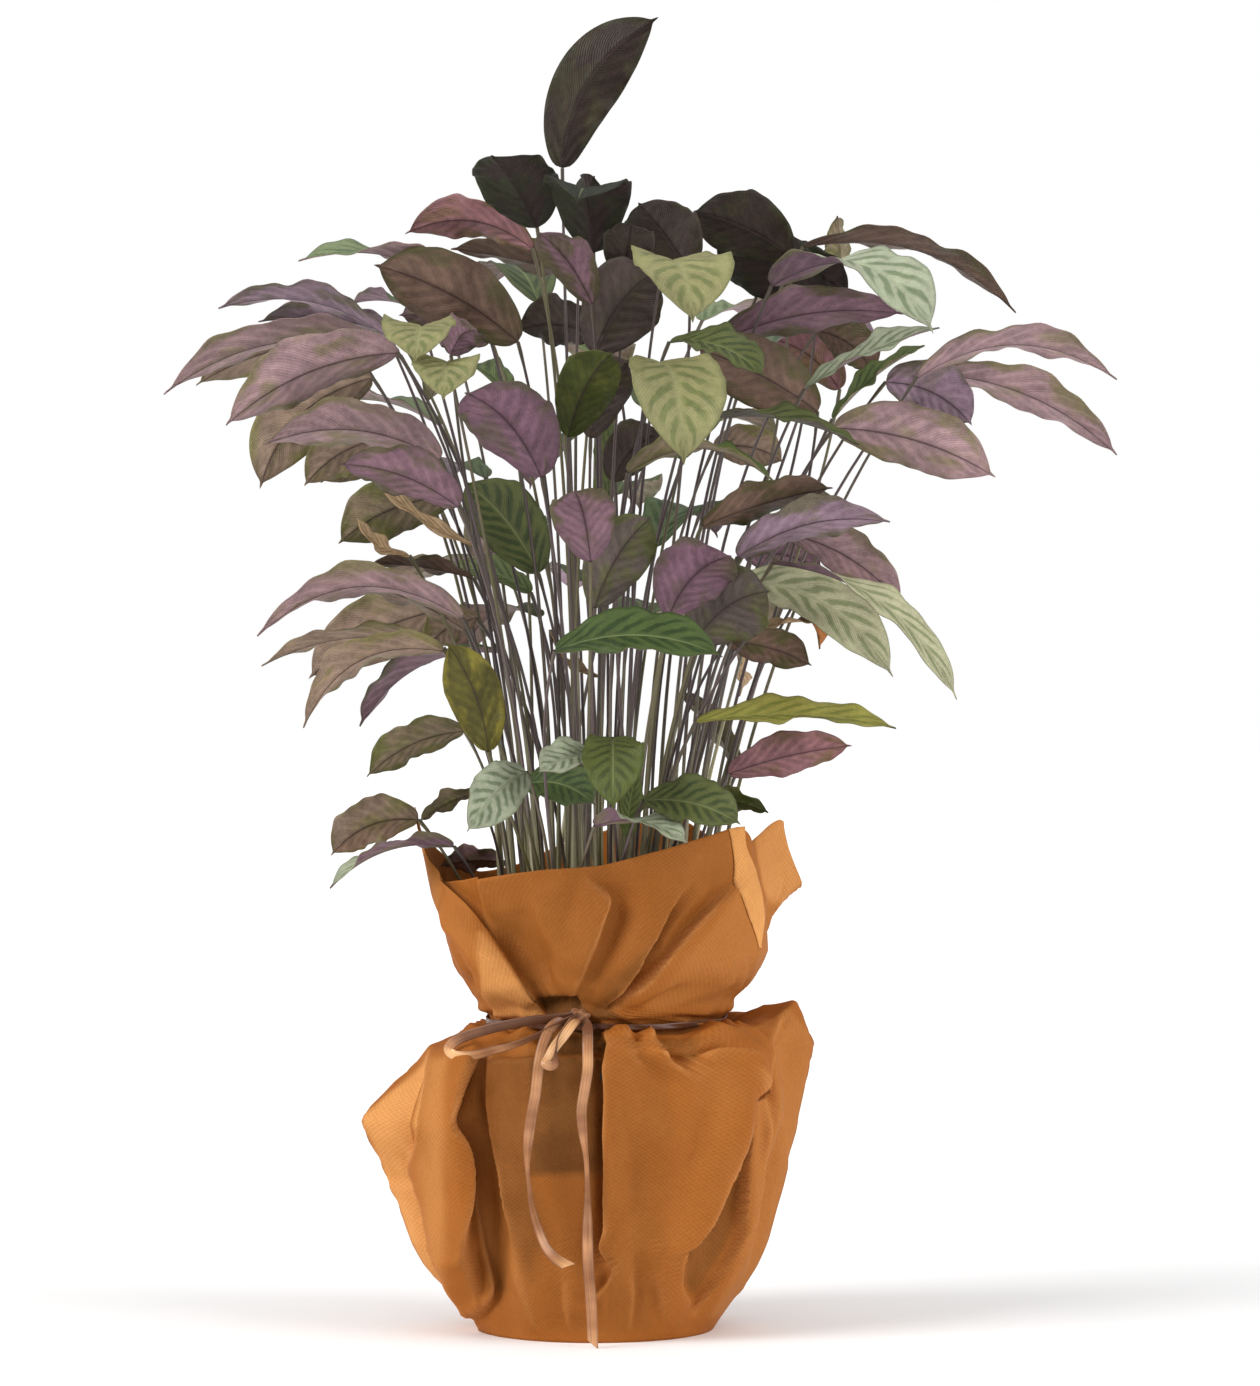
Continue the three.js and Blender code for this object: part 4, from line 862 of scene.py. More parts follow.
def clothPatch(bm, us, vs, lift, pale=None):
    # a stretch of cloth, lifted a little off its fold lines and folded with them
    us = crowded(us, vs)
    points = clothAt(us, vs)
    normals = normalsOf(points)
    shift, hemHighlight = foldShift(points, normals)
    behind, behindHighlight = pleatShift(us, vs, normals)
    shift = settled(shift + behind, wrap["calm"])
    hemHighlight = settled(np.maximum(hemHighlight, behindHighlight), wrap["calm"])
    share = np.linspace(0, 1, us.shape[1])
    off = [[crumpleAt(point, v) + lift(part, v) for point, part in zip(row, share)]
           for row, v in zip(points, vs)]
    moved = creased(points + shift + normals * np.array(off)[..., None], normals)
    # a pale patch, such as the lip, is painted light all over
    layerAndShade = layersAndShadeAt(points, normals) if pale is None else np.full(us.shape, -pale)
    placeOf = bm.verts.layers.float_vector["clothPlace"]
    layersAndShadeOf = bm.verts.layers.float["clothLayersAndShade"]
    rows = gridOf(bm, us.shape[1] - 1, us.shape[0] - 1)
    for j, row in enumerate(rows):
        for i, vert in enumerate(row):
            vert.co = Vector(moved[j, i]) * mm
            vert[placeOf] = (us[j, i] * wrap["lineWidth"], points[j, i, 2] * mm, hemHighlight[j, i])
            vert[layersAndShadeOf] = layerAndShade[j, i]
    return rows


def edgeOnCloth(line, vs, searched):
    # the fold line at which a route of the elevation crosses each level of vs
    line = np.array(sorted(line, key=lambda spot: spot[1]), float)
    found = []
    for v in vs:
        us = np.linspace(*searched, wrap["searchSteps"])
        spots = elevationOf(clothAt(us[None, :], [v])[0])
        miss = np.abs(spots[:, 0] - np.interp(spots[:, 1], line[:, 1], line[:, 0]))
        found.append(us[miss.argmin()])
    return settled(np.array(found), 3)


def stretches(*parts):
    # evenly divided stretches, end to end, from (start, end, count) of each
    places = [np.linspace(start, end, count + 1)[:-1] for start, end, count in parts]
    return np.concatenate([*places, [parts[-1][1]]])


def lifted(part):
    # off the cloth more and more across the piece, and upwards from its lower end
    def lift(share, level):
        risen = ease(part["from"], part["full"], level)
        return part["lift"] + part["spread"] * share ** part["power"] * risen

    return lift


def layFlap(bm):
    levels = np.linspace(flap["from"], wrapLevels["rim"], flap["rows"])
    edges = edgeOnCloth(flap["edge"], levels, flap["searched"])
    spans = np.array([np.linspace(0, edge, flap["columns"]) for edge in edges])
    clothPatch(bm, spans, levels, lifted(flap))


def layLip(bm):
    levels = np.linspace(lip["from"], wrapLevels["rim"], lip["rows"])
    inner = edgeOnCloth(lip["inner"], levels, lip["innerSearched"])
    outer = np.maximum(edgeOnCloth(lip["outer"], levels, lip["outerSearched"]), inner + lip["least"])
    spans = np.array([np.linspace(a, b, lip["columns"]) for a, b in zip(inner, outer)])
    clothPatch(bm, spans, levels, lifted(lip), lip["pale"])


def makeWrap():
    bm = bmesh.new()
    bm.verts.layers.float_vector.new("clothPlace")
    bm.verts.layers.float.new("clothLayersAndShade")
    levels = stretches(
        (wrapLevels["foot"], wrapLevels["neck"], wrap["skirt"]),
        (wrapLevels["neck"], wrapLevels["collar"], wrap["neck"]),
        (wrapLevels["collar"], wrapLevels["rim"], wrap["collar"]))
    around = stretches(
        (wrap["seam"] - len(folds), wrap["frontFrom"], wrap["back"] * 3 // 4),
        (wrap["frontFrom"], wrap["frontTo"], wrap["front"]),
        (wrap["frontTo"], wrap["seam"], wrap["back"] // 4))
    rows = clothPatch(bm, np.array([around] * len(levels)), levels, lambda share, level: 0.0)
    closeSeam(bm, rows)
    foot = [edge for edge in bm.edges if edge.is_boundary and edge.verts[0].co.z < 3 * mm]
    bmesh.ops.contextual_create(bm, geom=foot)
    layFlap(bm)
    layLip(bm)
    piece = finished("wrapCloth", bm, [clothFinish()])
    thicken(piece, wrap["thickness"])
    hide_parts("wrap")


# the cloth's colours, its painted shade, painted light and painted highlight along lap edges, and metres
# between its pressed dots
cloth = {
    "colour": (162, 95, 37), "doubleAndShade": (94, 58, 24), "singleAndLit": (234, 168, 100),
    "blotch": (172, 110, 54), "hemHighlight": (226, 158, 96), "dots": 0.0027,
}


def clothFinish():
    finish = Finish("nonWovenCloth", Roughness=0.68, Specular_IOR_Level=0.1)
    across, up, hemHighlight = finish.parts(finish.attribute("clothPlace", "Vector"))
    doubleAndShade = finish.attribute("clothLayersAndShade", "Fac")
    blotch = finish.grain(finish.places(), 26, 4)
    fibre = finish.grain(finish.stretched(finish.places(), (1, 1, 0.6)), 620, 2)
    pitch = 1 / cloth["dots"]          # the pressed dots stand in slanting rows
    dots = (across * pitch).wave() * (up * pitch).wave()
    # darker where the cloth lies double and in painted shade, paler where it is single and in painted light
    colour = finish.mix(doubleAndShade.step(0, 1), tone(*cloth["colour"]), tone(*cloth["doubleAndShade"]))
    colour = finish.mix((doubleAndShade * -1).step(0, 1), colour, tone(*cloth["singleAndLit"]))
    colour = finish.mix(blotch.step(0.35, 0.75) * 0.3, colour, tone(*cloth["blotch"]))
    # the painted highlight along the edges of laps and pleats
    colour = finish.mix(hemHighlight * 0.6, colour, tone(*cloth["hemHighlight"]))
    colour = finish.shade(colour, 0.8 + 0.28 * fibre + 0.1 * dots)
    finish.feed("Base Color", colour)
    finish.relief(dots * 0.5 + fibre, 0.35, 0.0005)
    return finish.material


makeWrap()
print("wrap made")


def makeBand():
    # the band lies on the gathered neck all the way round, painted all in deep shade
    bm = newStripMesh()
    placeOf = bm.verts.layers.float_vector["ribbonPlace"]
    high = ribbon["across"] - 2
    rows = gridOf(bm, ribbon["bandSteps"], high)
    around = np.linspace(wrap["seam"], wrap["seam"] + len(folds), ribbon["bandSteps"] + 1)
    ring = clothAt(np.array([around]), [wrapLevels["neck"]])[0]
    for j, row in enumerate(rows):
        height = ribbon["neckLow"] + (ribbon["neckHigh"] - ribbon["neckLow"]) * j / high
        aside = (j / high - 0.5) * ribbon["width"] * mm
        for vert, u, (x, y, _) in zip(row, around, ring):
            reach = math.hypot(x, y)
            out = (reach + ribbon["gap"] + 0.25 * math.sin(u * 7.3 + j * 0.9)) / reach
            vert.co = Vector((x * out, y * out, height + 0.5 * math.sin(u * 2.1))) * mm
            vert[placeOf] = (u * ribbon["lineWidth"], aside, ribbon["bandShade"])
    closeSeam(bm, rows)
    band = finished("ribbonBand", bm, [satin])
    thicken(band, ribbon["thickness"], 1)
    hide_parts("ribbon_band")


def makeBow():
    bm = newStripMesh()
    for loop in (bigLoop, smallLoop):
        layStrip(bm, ribbonLine(loop, loop["steps"]), loop["rolls"], loop["shades"])
    for tail in (tailLeft, tailRight):
        line = ribbonLine(tail, ribbon["upperSteps"], 0, tail["split"])
        layStrip(bm, line, tail["upperRolls"], tail["upperShades"])
    bow = finished("ribbonBow", bm, [satin])
    thicken(bow, ribbon["thickness"], 0)
    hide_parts("ribbon_bow")


def makeKnot():
    # a folded roll of the same ribbon, painted partly in shade
    bm = newStripMesh()
    placeOf = bm.verts.layers.float_vector["ribbonPlace"]
    centre, (wide, deep, tall) = fromElevation(*knot["place"]), knot["size"]
    bmesh.ops.create_uvsphere(bm, u_segments=knot["segments"], v_segments=knot["rings"], radius=1)
    for vert in bm.verts:
        x, y, z = vert.co
        turn = math.atan2(z, x)
        pinch = 1 + 0.1 * math.sin(turn * 7 + y * 2) + 0.07 * math.sin(turn * 3 + 1)
        vert.co = (centre + Vector((wide * x * pinch, deep * y, tall * z * pinch))) * mm
        vert[placeOf] = (turn * 0.006, y * 0.003, knot["shade"])
    piece = finished("ribbonKnot", bm, [satin])
    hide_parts("ribbon_bow")


makeBand()
makeBow()
makeKnot()
print("ribbon tied")


# the pot keeps its modelled shape and gets a moulded finish; the soil is a crumbly disc in it
soil = {"radius": 91.6, "top": 166, "depth": 7, "swell": 2.2, "grid": 72, "sunk": 1.5, "taper": 0.985}
crumb = {
    "count": 300, "seed": 11, "spread": 0.95, "size": (1.0, 3.2), "sunk": 0.6, "jag": 0.25,
    "stretch": ((0.7, 1.5), (0.6, 1.1), (0.4, 0.8)),
}


def potFinish():
    finish = Finish("mouldedPot", Roughness=0.5)
    haze = finish.grain(finish.places(), 60, 3)
    colour = finish.mix(haze, tone(38, 36, 35), tone(52, 50, 48))
    finish.feed("Base Color", finish.shade(colour, 1.0 + 0.1 * haze))
    finish.feed("Roughness", 0.42 + 0.2 * haze)
    finish.relief(finish.grain(finish.places(), 1500, 2), 0.15, 0.0003)
    return finish.material


def soilFinish():
    finish = Finish("pottingMix", Roughness=0.95)
    clods = finish.grain(finish.places(), 180, 5, 0.7)
    bark = finish.grain(finish.stretched(finish.places(), (1, 1, 2)), 420, 3)
    colour = finish.mix(clods.step(0.35, 0.7), tone(40, 28, 22), tone(84, 62, 46))
    colour = finish.mix(bark.step(0.62, 0.72) * 0.7, colour, tone(128, 96, 66))
    finish.feed("Base Color", colour)
    finish.relief(clods, 0.8, 0.002)
    return finish.material


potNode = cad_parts["pot"]
moulded = potFinish()
for place in potNode.material_slots:
    place.material = moulded


def layCrumbs(bm):
    dice = random.Random(crumb["seed"])
    for _ in range(crumb["count"]):
        radius = soil["radius"] * crumb["spread"] * math.sqrt(dice.random())
        turn = dice.uniform(0, 2 * math.pi)
        grain = bmesh.ops.create_icosphere(bm, subdivisions=1, radius=dice.uniform(*crumb["size"]))["verts"]
        stretch = Vector([dice.uniform(*span) for span in crumb["stretch"]])
        middle = Vector((radius * math.cos(turn), radius * math.sin(turn), soil["top"] - crumb["sunk"]))
        spin = dice.uniform(0, math.pi)
        for vert in grain:
            x, y, z = (place * share for place, share in zip(vert.co, stretch))
            jag = 1 + crumb["jag"] * noise.noise(vert.co * 1.7 + middle)
            x, y = x * math.cos(spin) - y * math.sin(spin), x * math.sin(spin) + y * math.cos(spin)
            vert.co = (middle + Vector((x, y, z)) * jag) * mm


def makeSoil():
    bm = bmesh.new()
    bmesh.ops.create_grid(bm, x_segments=soil["grid"], y_segments=soil["grid"], size=1)
    for vert in bm.verts:
        a, b, _ = vert.co                               # square to disc
        x, y = a * math.sqrt(1 - b * b / 2), b * math.sqrt(1 - a * a / 2)
        x, y = x * soil["radius"], y * soil["radius"]
        height = soil["top"] + soil["swell"] * noise.fractal(Vector((x, y, 0)) * 0.09, 0.7, 2.1, 4)
        vert.co = Vector((x, y, height - soil["sunk"])) * mm
    skirt = [edge for edge in bm.edges if edge.is_boundary]
    lower = bmesh.ops.extrude_edge_only(bm, edges=skirt)["geom"]
    for item in lower:
        if isinstance(item, bmesh.types.BMVert):
            x, y = item.co.x * soil["taper"], item.co.y * soil["taper"]
            item.co = (x, y, (soil["top"] - soil["depth"]) * mm)
    rim = [item for item in lower if isinstance(item, bmesh.types.BMEdge) and item.is_boundary]
    bmesh.ops.contextual_create(bm, geom=rim)
    layCrumbs(bm)
    bmesh.ops.recalc_face_normals(bm, faces=bm.faces)
    piece = finished("soilBed", bm, [soilFinish()])
    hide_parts("soil")


makeSoil()
print("pot and soil done")


# One row a leaf: joint x, z, y, tip x, z, y in the elevation, arch height, width, how far the
# upper face is turned towards the front at the joint and at the tip in degrees, and its colours.
leaves = [
    # the crown
    (-22, 781, -10, 43, 883, -20, 17, 48, -80, -80, "ember"),
    (-39, 741, -60, -70, 790, -130, 5, 58, -20, 0, "night"),
    (-1, 724, -30, -12, 758, -110, 25, 60, 0, 10, "night"),
    (64, 712, -20, 29, 758, -90, 2, 50, -30, -20, "dusk"),
    (20, 705, -60, 25, 744, -110, 4, 36, -10, -10, "dusk"),
    (-2, 690, -60, -38, 738, -130, 6, 34, -25, -15, "plum"),
    (-10, 740, 30, 0, 776, 0, 4, 30, -60, -60, "night"),
    (-42, 727, -10, -128, 737, 10, 14, 36, -50, -50, "rose"),
    (132, 722, 30, 66, 752, -20, 5, 50, -55, -55, "ember"),
    (150, 692, 30, 80, 730, -10, 5, 55, -55, -50, "night"),
    (112, 702, 60, 172, 694, 40, 12, 48, -50, -50, "night"),
    (0, 703, 40, -97, 727, 40, 4, 44, -24, -22, "bark"),
    # the pale young leaves in front
    (42, 650, -130, 60, 581, -205, 24, 65, 0, 0, "pale"),
    (45, 714, -120, 66, 677, -195, 20, 68, 0, 0, "pale"),
    (50, 664, -100, 114, 641, -125, 9, 40, 20, 35, "forest"),
    (-115, 673, -120, -121, 651, -180, 10, 50, 0, 0, "pale"),
    (-98, 648, -140, -102, 625, -190, 12, 46, 0, 0, "pale"),
    (-18, 600, -110, 12, 657, -165, 8, 40, -35, -35, "moss"),
    (-3, 599, -90, 24, 652, -125, 8, 32, -50, -50, "dusk"),
    (0, 656, -60, 42, 712, -105, 8, 56, -55, -55, "dusk"),
    # upper left fan
    (-131, 655, -30, -291, 629, -45, 22, 52, -22, -22, "dawn"),
    (-133, 657, -70, -249, 608, -100, 11, 56, -48, -48, "dawn"),
    (-140, 668, 5, -254, 687, 5, 15, 46, -16, -14, "haze"),
    (-165, 664, 50, -269, 635, 60, 9, 46, -38, -38, "tan"),
    (-76, 684, -45, -200, 719, -85, 20, 46, -32, 28, "dawn"),
    (-52, 664, -20, -149, 716, -60, 7, 56, -58, -58, "bark"),
    (-132, 668, 50, -227, 678, 60, 7, 44, -20, -20, "haze"),
    (-70, 665, 40, -132, 682, 50, 6, 48, -60, -60, "plum"),
    (-97, 655, -60, -79, 672, -90, 6, 30, -40, -40, "plum"),
    (0, 668, 60, -52, 672, 70, 6, 44, -50, -50, "dusk"),
    # upper right fan
    (217, 640, -20, 352, 639, -30, 23, 46, -20, -20, "dawn"),
    (222, 643, 25, 352, 588, 30, 14, 44, -34, -34, "dawn"),
    (140, 728, 40, 284, 684, 45, 21, 44, -13, -11, "bark"),
    (119, 702, -40, 228, 670, -110, 30, 62, -22, 46, "silver"),
    (82, 664, -20, 208, 683, -40, 10, 42, -45, -42, "plum"),
    (161, 606, -40, 270, 573, -60, 8, 50, -65, -65, "dawn"),
    (150, 617, -20, 68, 660, -70, 4, 50, -60, -60, "bark"),
    (141, 632, -80, 232, 674, -100, 5, 34, 22, 30, "silver"),
    (160, 612, -30, 222, 662, -40, 5, 36, 20, 20, "olive"),
    (196, 637, 20, 254, 608, 20, 8, 46, -60, -60, "haze"),
    (150, 672, 40, 188, 643, 40, 6, 38, -50, -50, "bark"),
    (165, 632, 90, 112, 668, 80, 8, 40, -50, -50, "rose"),
    (165, 700, 80, 163, 749, 60, 5, 32, -60, -60, "olive"),
    (72, 612, -60, 178, 595, -80, 9, 44, 7, 12, "forest"),
    # middle left
    (-36, 573, -130, -88, 630, -195, 10, 60, -25, -25, "violet"),
    (-104, 585, -60, -224, 595, -95, 15, 52, -34, -34, "dawn"),
    (-92, 553, -90, -172, 582, -125, 7, 46, -38, -38, "plum"),
    (-150, 640, 40, -226, 565, 50, 16, 50, -65, -65, "tan"),
    (-130, 600, 10, -196, 567, 20, 9, 40, -60, -60, "tan"),
    (-120, 590, 50, -185, 569, 60, 8, 38, -60, -60, "tan"),
    (-95, 560, 0, -173, 528, 0, 8, 46, -65, -65, "olive"),
    (-89, 478, -60, -228, 466, -85, 27, 46, -28, -25, "dawn"),
    (-82, 505, -20, -152, 515, -25, 3, 26, -20, -20, "bark"),
    (-87, 470, -30, -162, 503, -40, 4, 34, -30, -30, "tan"),
    (-95, 485, 40, -193, 437, 50, 9, 50, -65, -65, "tan"),
    (-102, 458, -40, -225, 446, -45, 13, 34, -18, -15, "tan"),
    (-102, 456, -55, -197, 404, -70, 21, 44, -30, -30, "tan"),
    (-72, 388, -60, -100, 461, -75, 6, 38, -68, -68, "lime"),
    (-88, 402, -30, -154, 371, -40, 7, 34, -55, -55, "olive"),
    (-80, 478, 20, -114, 456, 20, 5, 30, -60, -60, "tan"),
    # middle, in front of the stalks
    (-3, 516, -130, -14, 564, -185, 8, 44, -15, -10, "plum"),
    (0, 485, -90, 38, 546, -140, 7, 44, -40, -40, "forest"),
    (50, 480, -100, 92, 520, -150, 9, 54, -35, -30, "violet"),
    (-27, 456, -170, 86, 452, -190, 12, 44, 42, 42, "fresh"),
    (68, 462, -80, 118, 496, -125, 8, 58, -60, -60, "forest"),
    (-38, 508, 20, -88, 570, 60, 6, 50, 45, 45, "forest"),
    (-43, 495, 50, -100, 512, 70, 6, 26, 40, 40, "tan"),
    (22, 576, -60, 121, 570, -100, 19, 40, -20, 5, "olive"),
    (12, 570, -80, 48, 603, -115, 8, 38, -40, -40, "dusk"),
    (8, 545, 30, 12, 617, 50, 6, 30, -50, -50, "moss"),
    (80, 592, 60, 127, 583, 60, 6, 32, -70, -70, "tan"),
    # middle right
    (96, 519, -60, 199, 543, -90, 11, 42, -38, -35, "haze"),
    (130, 535, 20, 207, 487, 5, 8, 38, -60, -60, "dawn"),
    (120, 515, -60, 244, 423, -120, 22, 32, -15, 42, "ash"),
    (90, 502, -90, 201, 438, -160, 20, 42, 45, 50, "ash"),
    (72, 540, -40, 160, 566, -30, 3, 38, -42, -40, "bark"),
    (100, 520, 50, 153, 508, 50, 7, 40, -60, -60, "plum"),
    (140, 497, 10, 152, 457, -10, 4, 28, -45, -45, "rust"),
    (88, 462, 0, 146, 446, 0, 4, 32, -60, -60, "bark"),
    (68, 408, -60, 203, 404, -75, 7, 40, 25, 22, "lime"),
    (90, 373, -10, 173, 392, -20, 3, 34, -60, -60, "rose"),
    (96, 376, 40, 57, 428, 50, 5, 28, -50, -50, "olive"),
    (105, 468, -20, 156, 475, -25, 4, 12, 15, 15, "straw"),
    # low leaves over the collar
    (5, 386, -110, -38, 374, -155, 4, 32, 30, 35, "silver"),
    (12, 397, -120, 12, 349, -180, 12, 42, 0, 0, "moss"),
    (-48, 366, -120, 0, 352, -150, 7, 36, 45, 50, "fresh"),
    (-46, 374, -110, -86, 334, -175, 6, 36, 55, 60, "silver"),
    (33, 355, -140, 98, 339, -170, 6, 40, 45, 50, "forest"),
    (70, 355, -60, 117, 347, -75, 3, 22, -45, -45, "moss"),
    (0, 338, -110, 62, 326, -165, 9, 32, -30, 30, "silver"),
    (-119, 342, -20, -178, 318, -30, 9, 40, -60, -60, "tan"),
    (-95, 324, -40, -179, 296, -55, 12, 40, -25, 10, "silver"),
    (-80, 360, -20, -118, 341, -30, 3, 20, -45, -45, "olive"),
    (22, 330, -60, 29, 375, -50, 3, 18, 60, 60, "moss"),
    (-62, 314, 30, -104, 311, 35, 2, 24, -50, -50, "dawn"),
    (102, 326, 20, 130, 290, 25, 1, 22, -60, -60, "dusk"),
    # withered leaves hanging in the clump
    (-125, 520, -20, -160, 545, -40, -6, 14, 30, 80, "straw"),
    (-82, 527, -50, -150, 575, -60, -5, 12, 40, 60, "straw"),
    (-30, 470, -60, 5, 438, -50, -8, 16, 40, -40, "straw"),
    (95, 460, 60, 98, 425, 50, 5, 28, -60, -60, "straw"),
]

# the far side's leaves, spread by a fixed turn from one to the next; from low to high they stand
# further out and reach further, and a slow swing varies each size
backLeaves = {
    "count": 21, "turn": 0.618, "start": 204, "sweep": 132, "low": 455, "high": 690, "foot": (70, 60, 12),
    "reach": (104, 18), "drop": (26, 24, 30), "arch": (18, 6), "width": (50, 6), "roll": 12,
    "looks": ("plum", "dawn", "bark", "olive", "haze", "tan"),
}


def backRows():
    rows = []
    inward, outward, swing = backLeaves["foot"]
    reach, reachSwing = backLeaves["reach"]
    drop, dropSwing, dropRise = backLeaves["drop"]
    arch, archSwing = backLeaves["arch"]
    width, widthSwing = backLeaves["width"]
    for i in range(backLeaves["count"]):
        way = math.radians(backLeaves["start"] + (i * backLeaves["turn"]) % 1 * backLeaves["sweep"])
        level = i / (backLeaves["count"] - 1)
        height = backLeaves["low"] + (backLeaves["high"] - backLeaves["low"]) * level
        joint = inward + outward * level + swing * math.sin(i * 2.1)
        tip = joint + reach + reachSwing * math.sin(i * 1.7)
        fall = drop + dropSwing * math.cos(i * 2.6) - dropRise * level
        x, y = math.cos(way), -math.sin(way)
        rows.append((
            x * joint, height, y * joint, x * tip, height - fall, y * tip,
            arch + archSwing * math.sin(i * 1.3), width + widthSwing * math.cos(i * 1.9),
            0, backLeaves["roll"] * math.sin(i * 2.3), backLeaves["looks"][i % len(backLeaves["looks"])]))
    return rows


# leaf colours: below, below at the tip, above, and the bars above. The palest pinkish colours are partly
# painted light shining through the thin leaves, and the darkest partly painted shade deep in the clump
looks = {
    "dawn": ((172, 140, 143), (122, 116, 74), (124, 136, 100), (80, 98, 64)),
    "haze": ((164, 136, 154), (104, 100, 66), (108, 122, 92), (66, 84, 56)),
    "plum": ((133, 101, 113), (84, 82, 44), (92, 108, 72), (48, 66, 40)),
    "rose": ((156, 110, 114), (118, 98, 60), (96, 104, 68), (54, 66, 42)),
    "tan": ((154, 130, 112), (120, 116, 62), (112, 124, 76), (72, 86, 50)),
    "bark": ((119, 93, 80), (78, 78, 40), (82, 92, 56), (48, 58, 36)),
    "olive": ((134, 118, 94), (98, 102, 46), (92, 106, 60), (56, 70, 38)),
    "moss": ((63, 69, 24), (82, 84, 34), (84, 92, 42), (52, 62, 26)),
    "lime": ((88, 82, 34), (132, 122, 44), (158, 152, 76), (118, 124, 54)),
    "dusk": ((76, 63, 58), (66, 60, 42), (52, 56, 38), (34, 40, 26)),
    "night": ((58, 46, 44), (50, 54, 34), (36, 40, 26), (24, 28, 18)),
    "ember": ((50, 37, 30), (60, 58, 36), (56, 52, 36), (32, 32, 22)),
    "forest": ((92, 80, 74), (84, 90, 44), (92, 98, 54), (48, 62, 32)),
    "fresh": ((104, 84, 88), (98, 102, 58), (74, 90, 46), (36, 56, 26)),
    "silver": ((124, 96, 110), (116, 112, 78), (166, 172, 146), (98, 114, 80)),
    "ash": ((124, 96, 110), (98, 98, 60), (184, 182, 148), (118, 128, 86)),
    "violet": ((122, 90, 105), (80, 78, 48), (84, 98, 62), (44, 58, 34)),
    "pale": ((140, 132, 100), (140, 134, 90), (139, 135, 92), (96, 104, 58)),
    "straw": ((186, 156, 122), (160, 126, 86), (190, 162, 126), (148, 114, 76)),
    "rust": ((168, 104, 44), (182, 124, 54), (168, 104, 50), (130, 80, 40)),
}
# a blade's cup in degrees, its waves, frilled edge, quilted bars and midrib's groove, and its outline,
# whose body ends at "tail" with a drip tip beyond it
leaf = {
    "across": 16, "along": 54, "thickness": 0.45, "cup": 13, "wave": 2.8, "waves": 2.1, "frill": 0.9,
    "quilt": 0.45, "groove": 0.7, "bars": 8, "slant": 0.23, "tail": 0.965, "drip": 0.11,
    "own": 0.137,           # each leaf has a number of its own, so that its grain differs
}
# radii at the foot, at the sheath's end and below the leaf, and the swollen joint above
stalk = {
    "foot": 2.7, "sheath": 1.25, "neck": 0.95, "swelling": 0.5, "joint": 12, "sheathEnd": 0.42,
    "lean": 0.12, "bendLow": 0.45, "bendHigh": 0.3, "height": 154, "ring": 3.7, "sides": 8, "along": 26,
}
# a leaf stands forward or back by whole steps, wherever its tip meets the tip of a modelled leaf
meeting = {"step": 9, "tries": 11, "near": 0.2, "ground": 0.3}


def curveAt(points, t):
    # a place and a direction at each t of a Bezier curve
    n = len(points) - 1
    place = sum(math.comb(n, k) * (t ** k * (1 - t) ** (n - k))[:, None] * points[k] for k in range(n + 1))
    way = sum(
        math.comb(n - 1, k) * (t ** k * (1 - t) ** (n - 1 - k))[:, None] * (points[k + 1] - points[k])
        for k in range(n))
    return place, way / np.linalg.norm(way, axis=1)[:, None]


def bladeForm(row, slide):
    jx, jz, jy, tx, tz, ty, arch = row[:7]
    joint, tip = fromElevation(jx, jz, jy + slide), fromElevation(tx, tz, ty + slide)
    chord = (tip - joint).normalized()
    rise = (Vector((0, 0, 1)) - chord * chord.z).normalized()
    side = chord.cross(rise)
    if side.y > 0:
        side.negate()
    crest = (joint + tip) / 2 + rise * (2 * arch)
    return [np.array(v) for v in (joint, crest, tip)], np.array(rise), np.array(side)


def bladeOutline(t):
    body = np.minimum(t / leaf["tail"], 1)
    half = body ** 0.46 * (1 - body ** 3) ** 0.85 / 0.665
    drip = leaf["drip"] * np.clip((1 - t) / 0.1, 0, 1) ** 0.8
    return 0.5 * np.where(t > 0.85, np.maximum(half, drip), half)


def wavesOf(turns):
    return np.sin(turns * 2 * np.pi)


def bladeLift(half, down, wide, width, index):
    # how far a blade's face lies off the plane of its midrib
    aside, middle = np.abs(wide), np.sin(np.pi * down)
    ripple = wavesOf(leaf["waves"] * down + (index * 0.37) % 1 + 0.25 * np.sign(wide))
    frill = wavesOf(7 * down + 2.3 * index + np.sign(wide)) + wavesOf(4.3 * down + index * 1.1)
    lift = half * aside * math.sin(math.radians(leaf["cup"]))
    lift = lift + leaf["wave"] * wide * wide * ripple * middle
    lift = lift + leaf["frill"] * min(width / 40, 1) * aside ** 3 * frill * middle
    inside = np.sin(np.pi * np.clip(aside, 0, 1)) ** 0.7 * np.clip(half / 8, 0, 1)
    lift = lift + leaf["quilt"] * wavesOf((down - leaf["slant"] * aside) * leaf["bars"]) * inside
    return lift - leaf["groove"] * np.exp(-(wide / 0.07) ** 2)


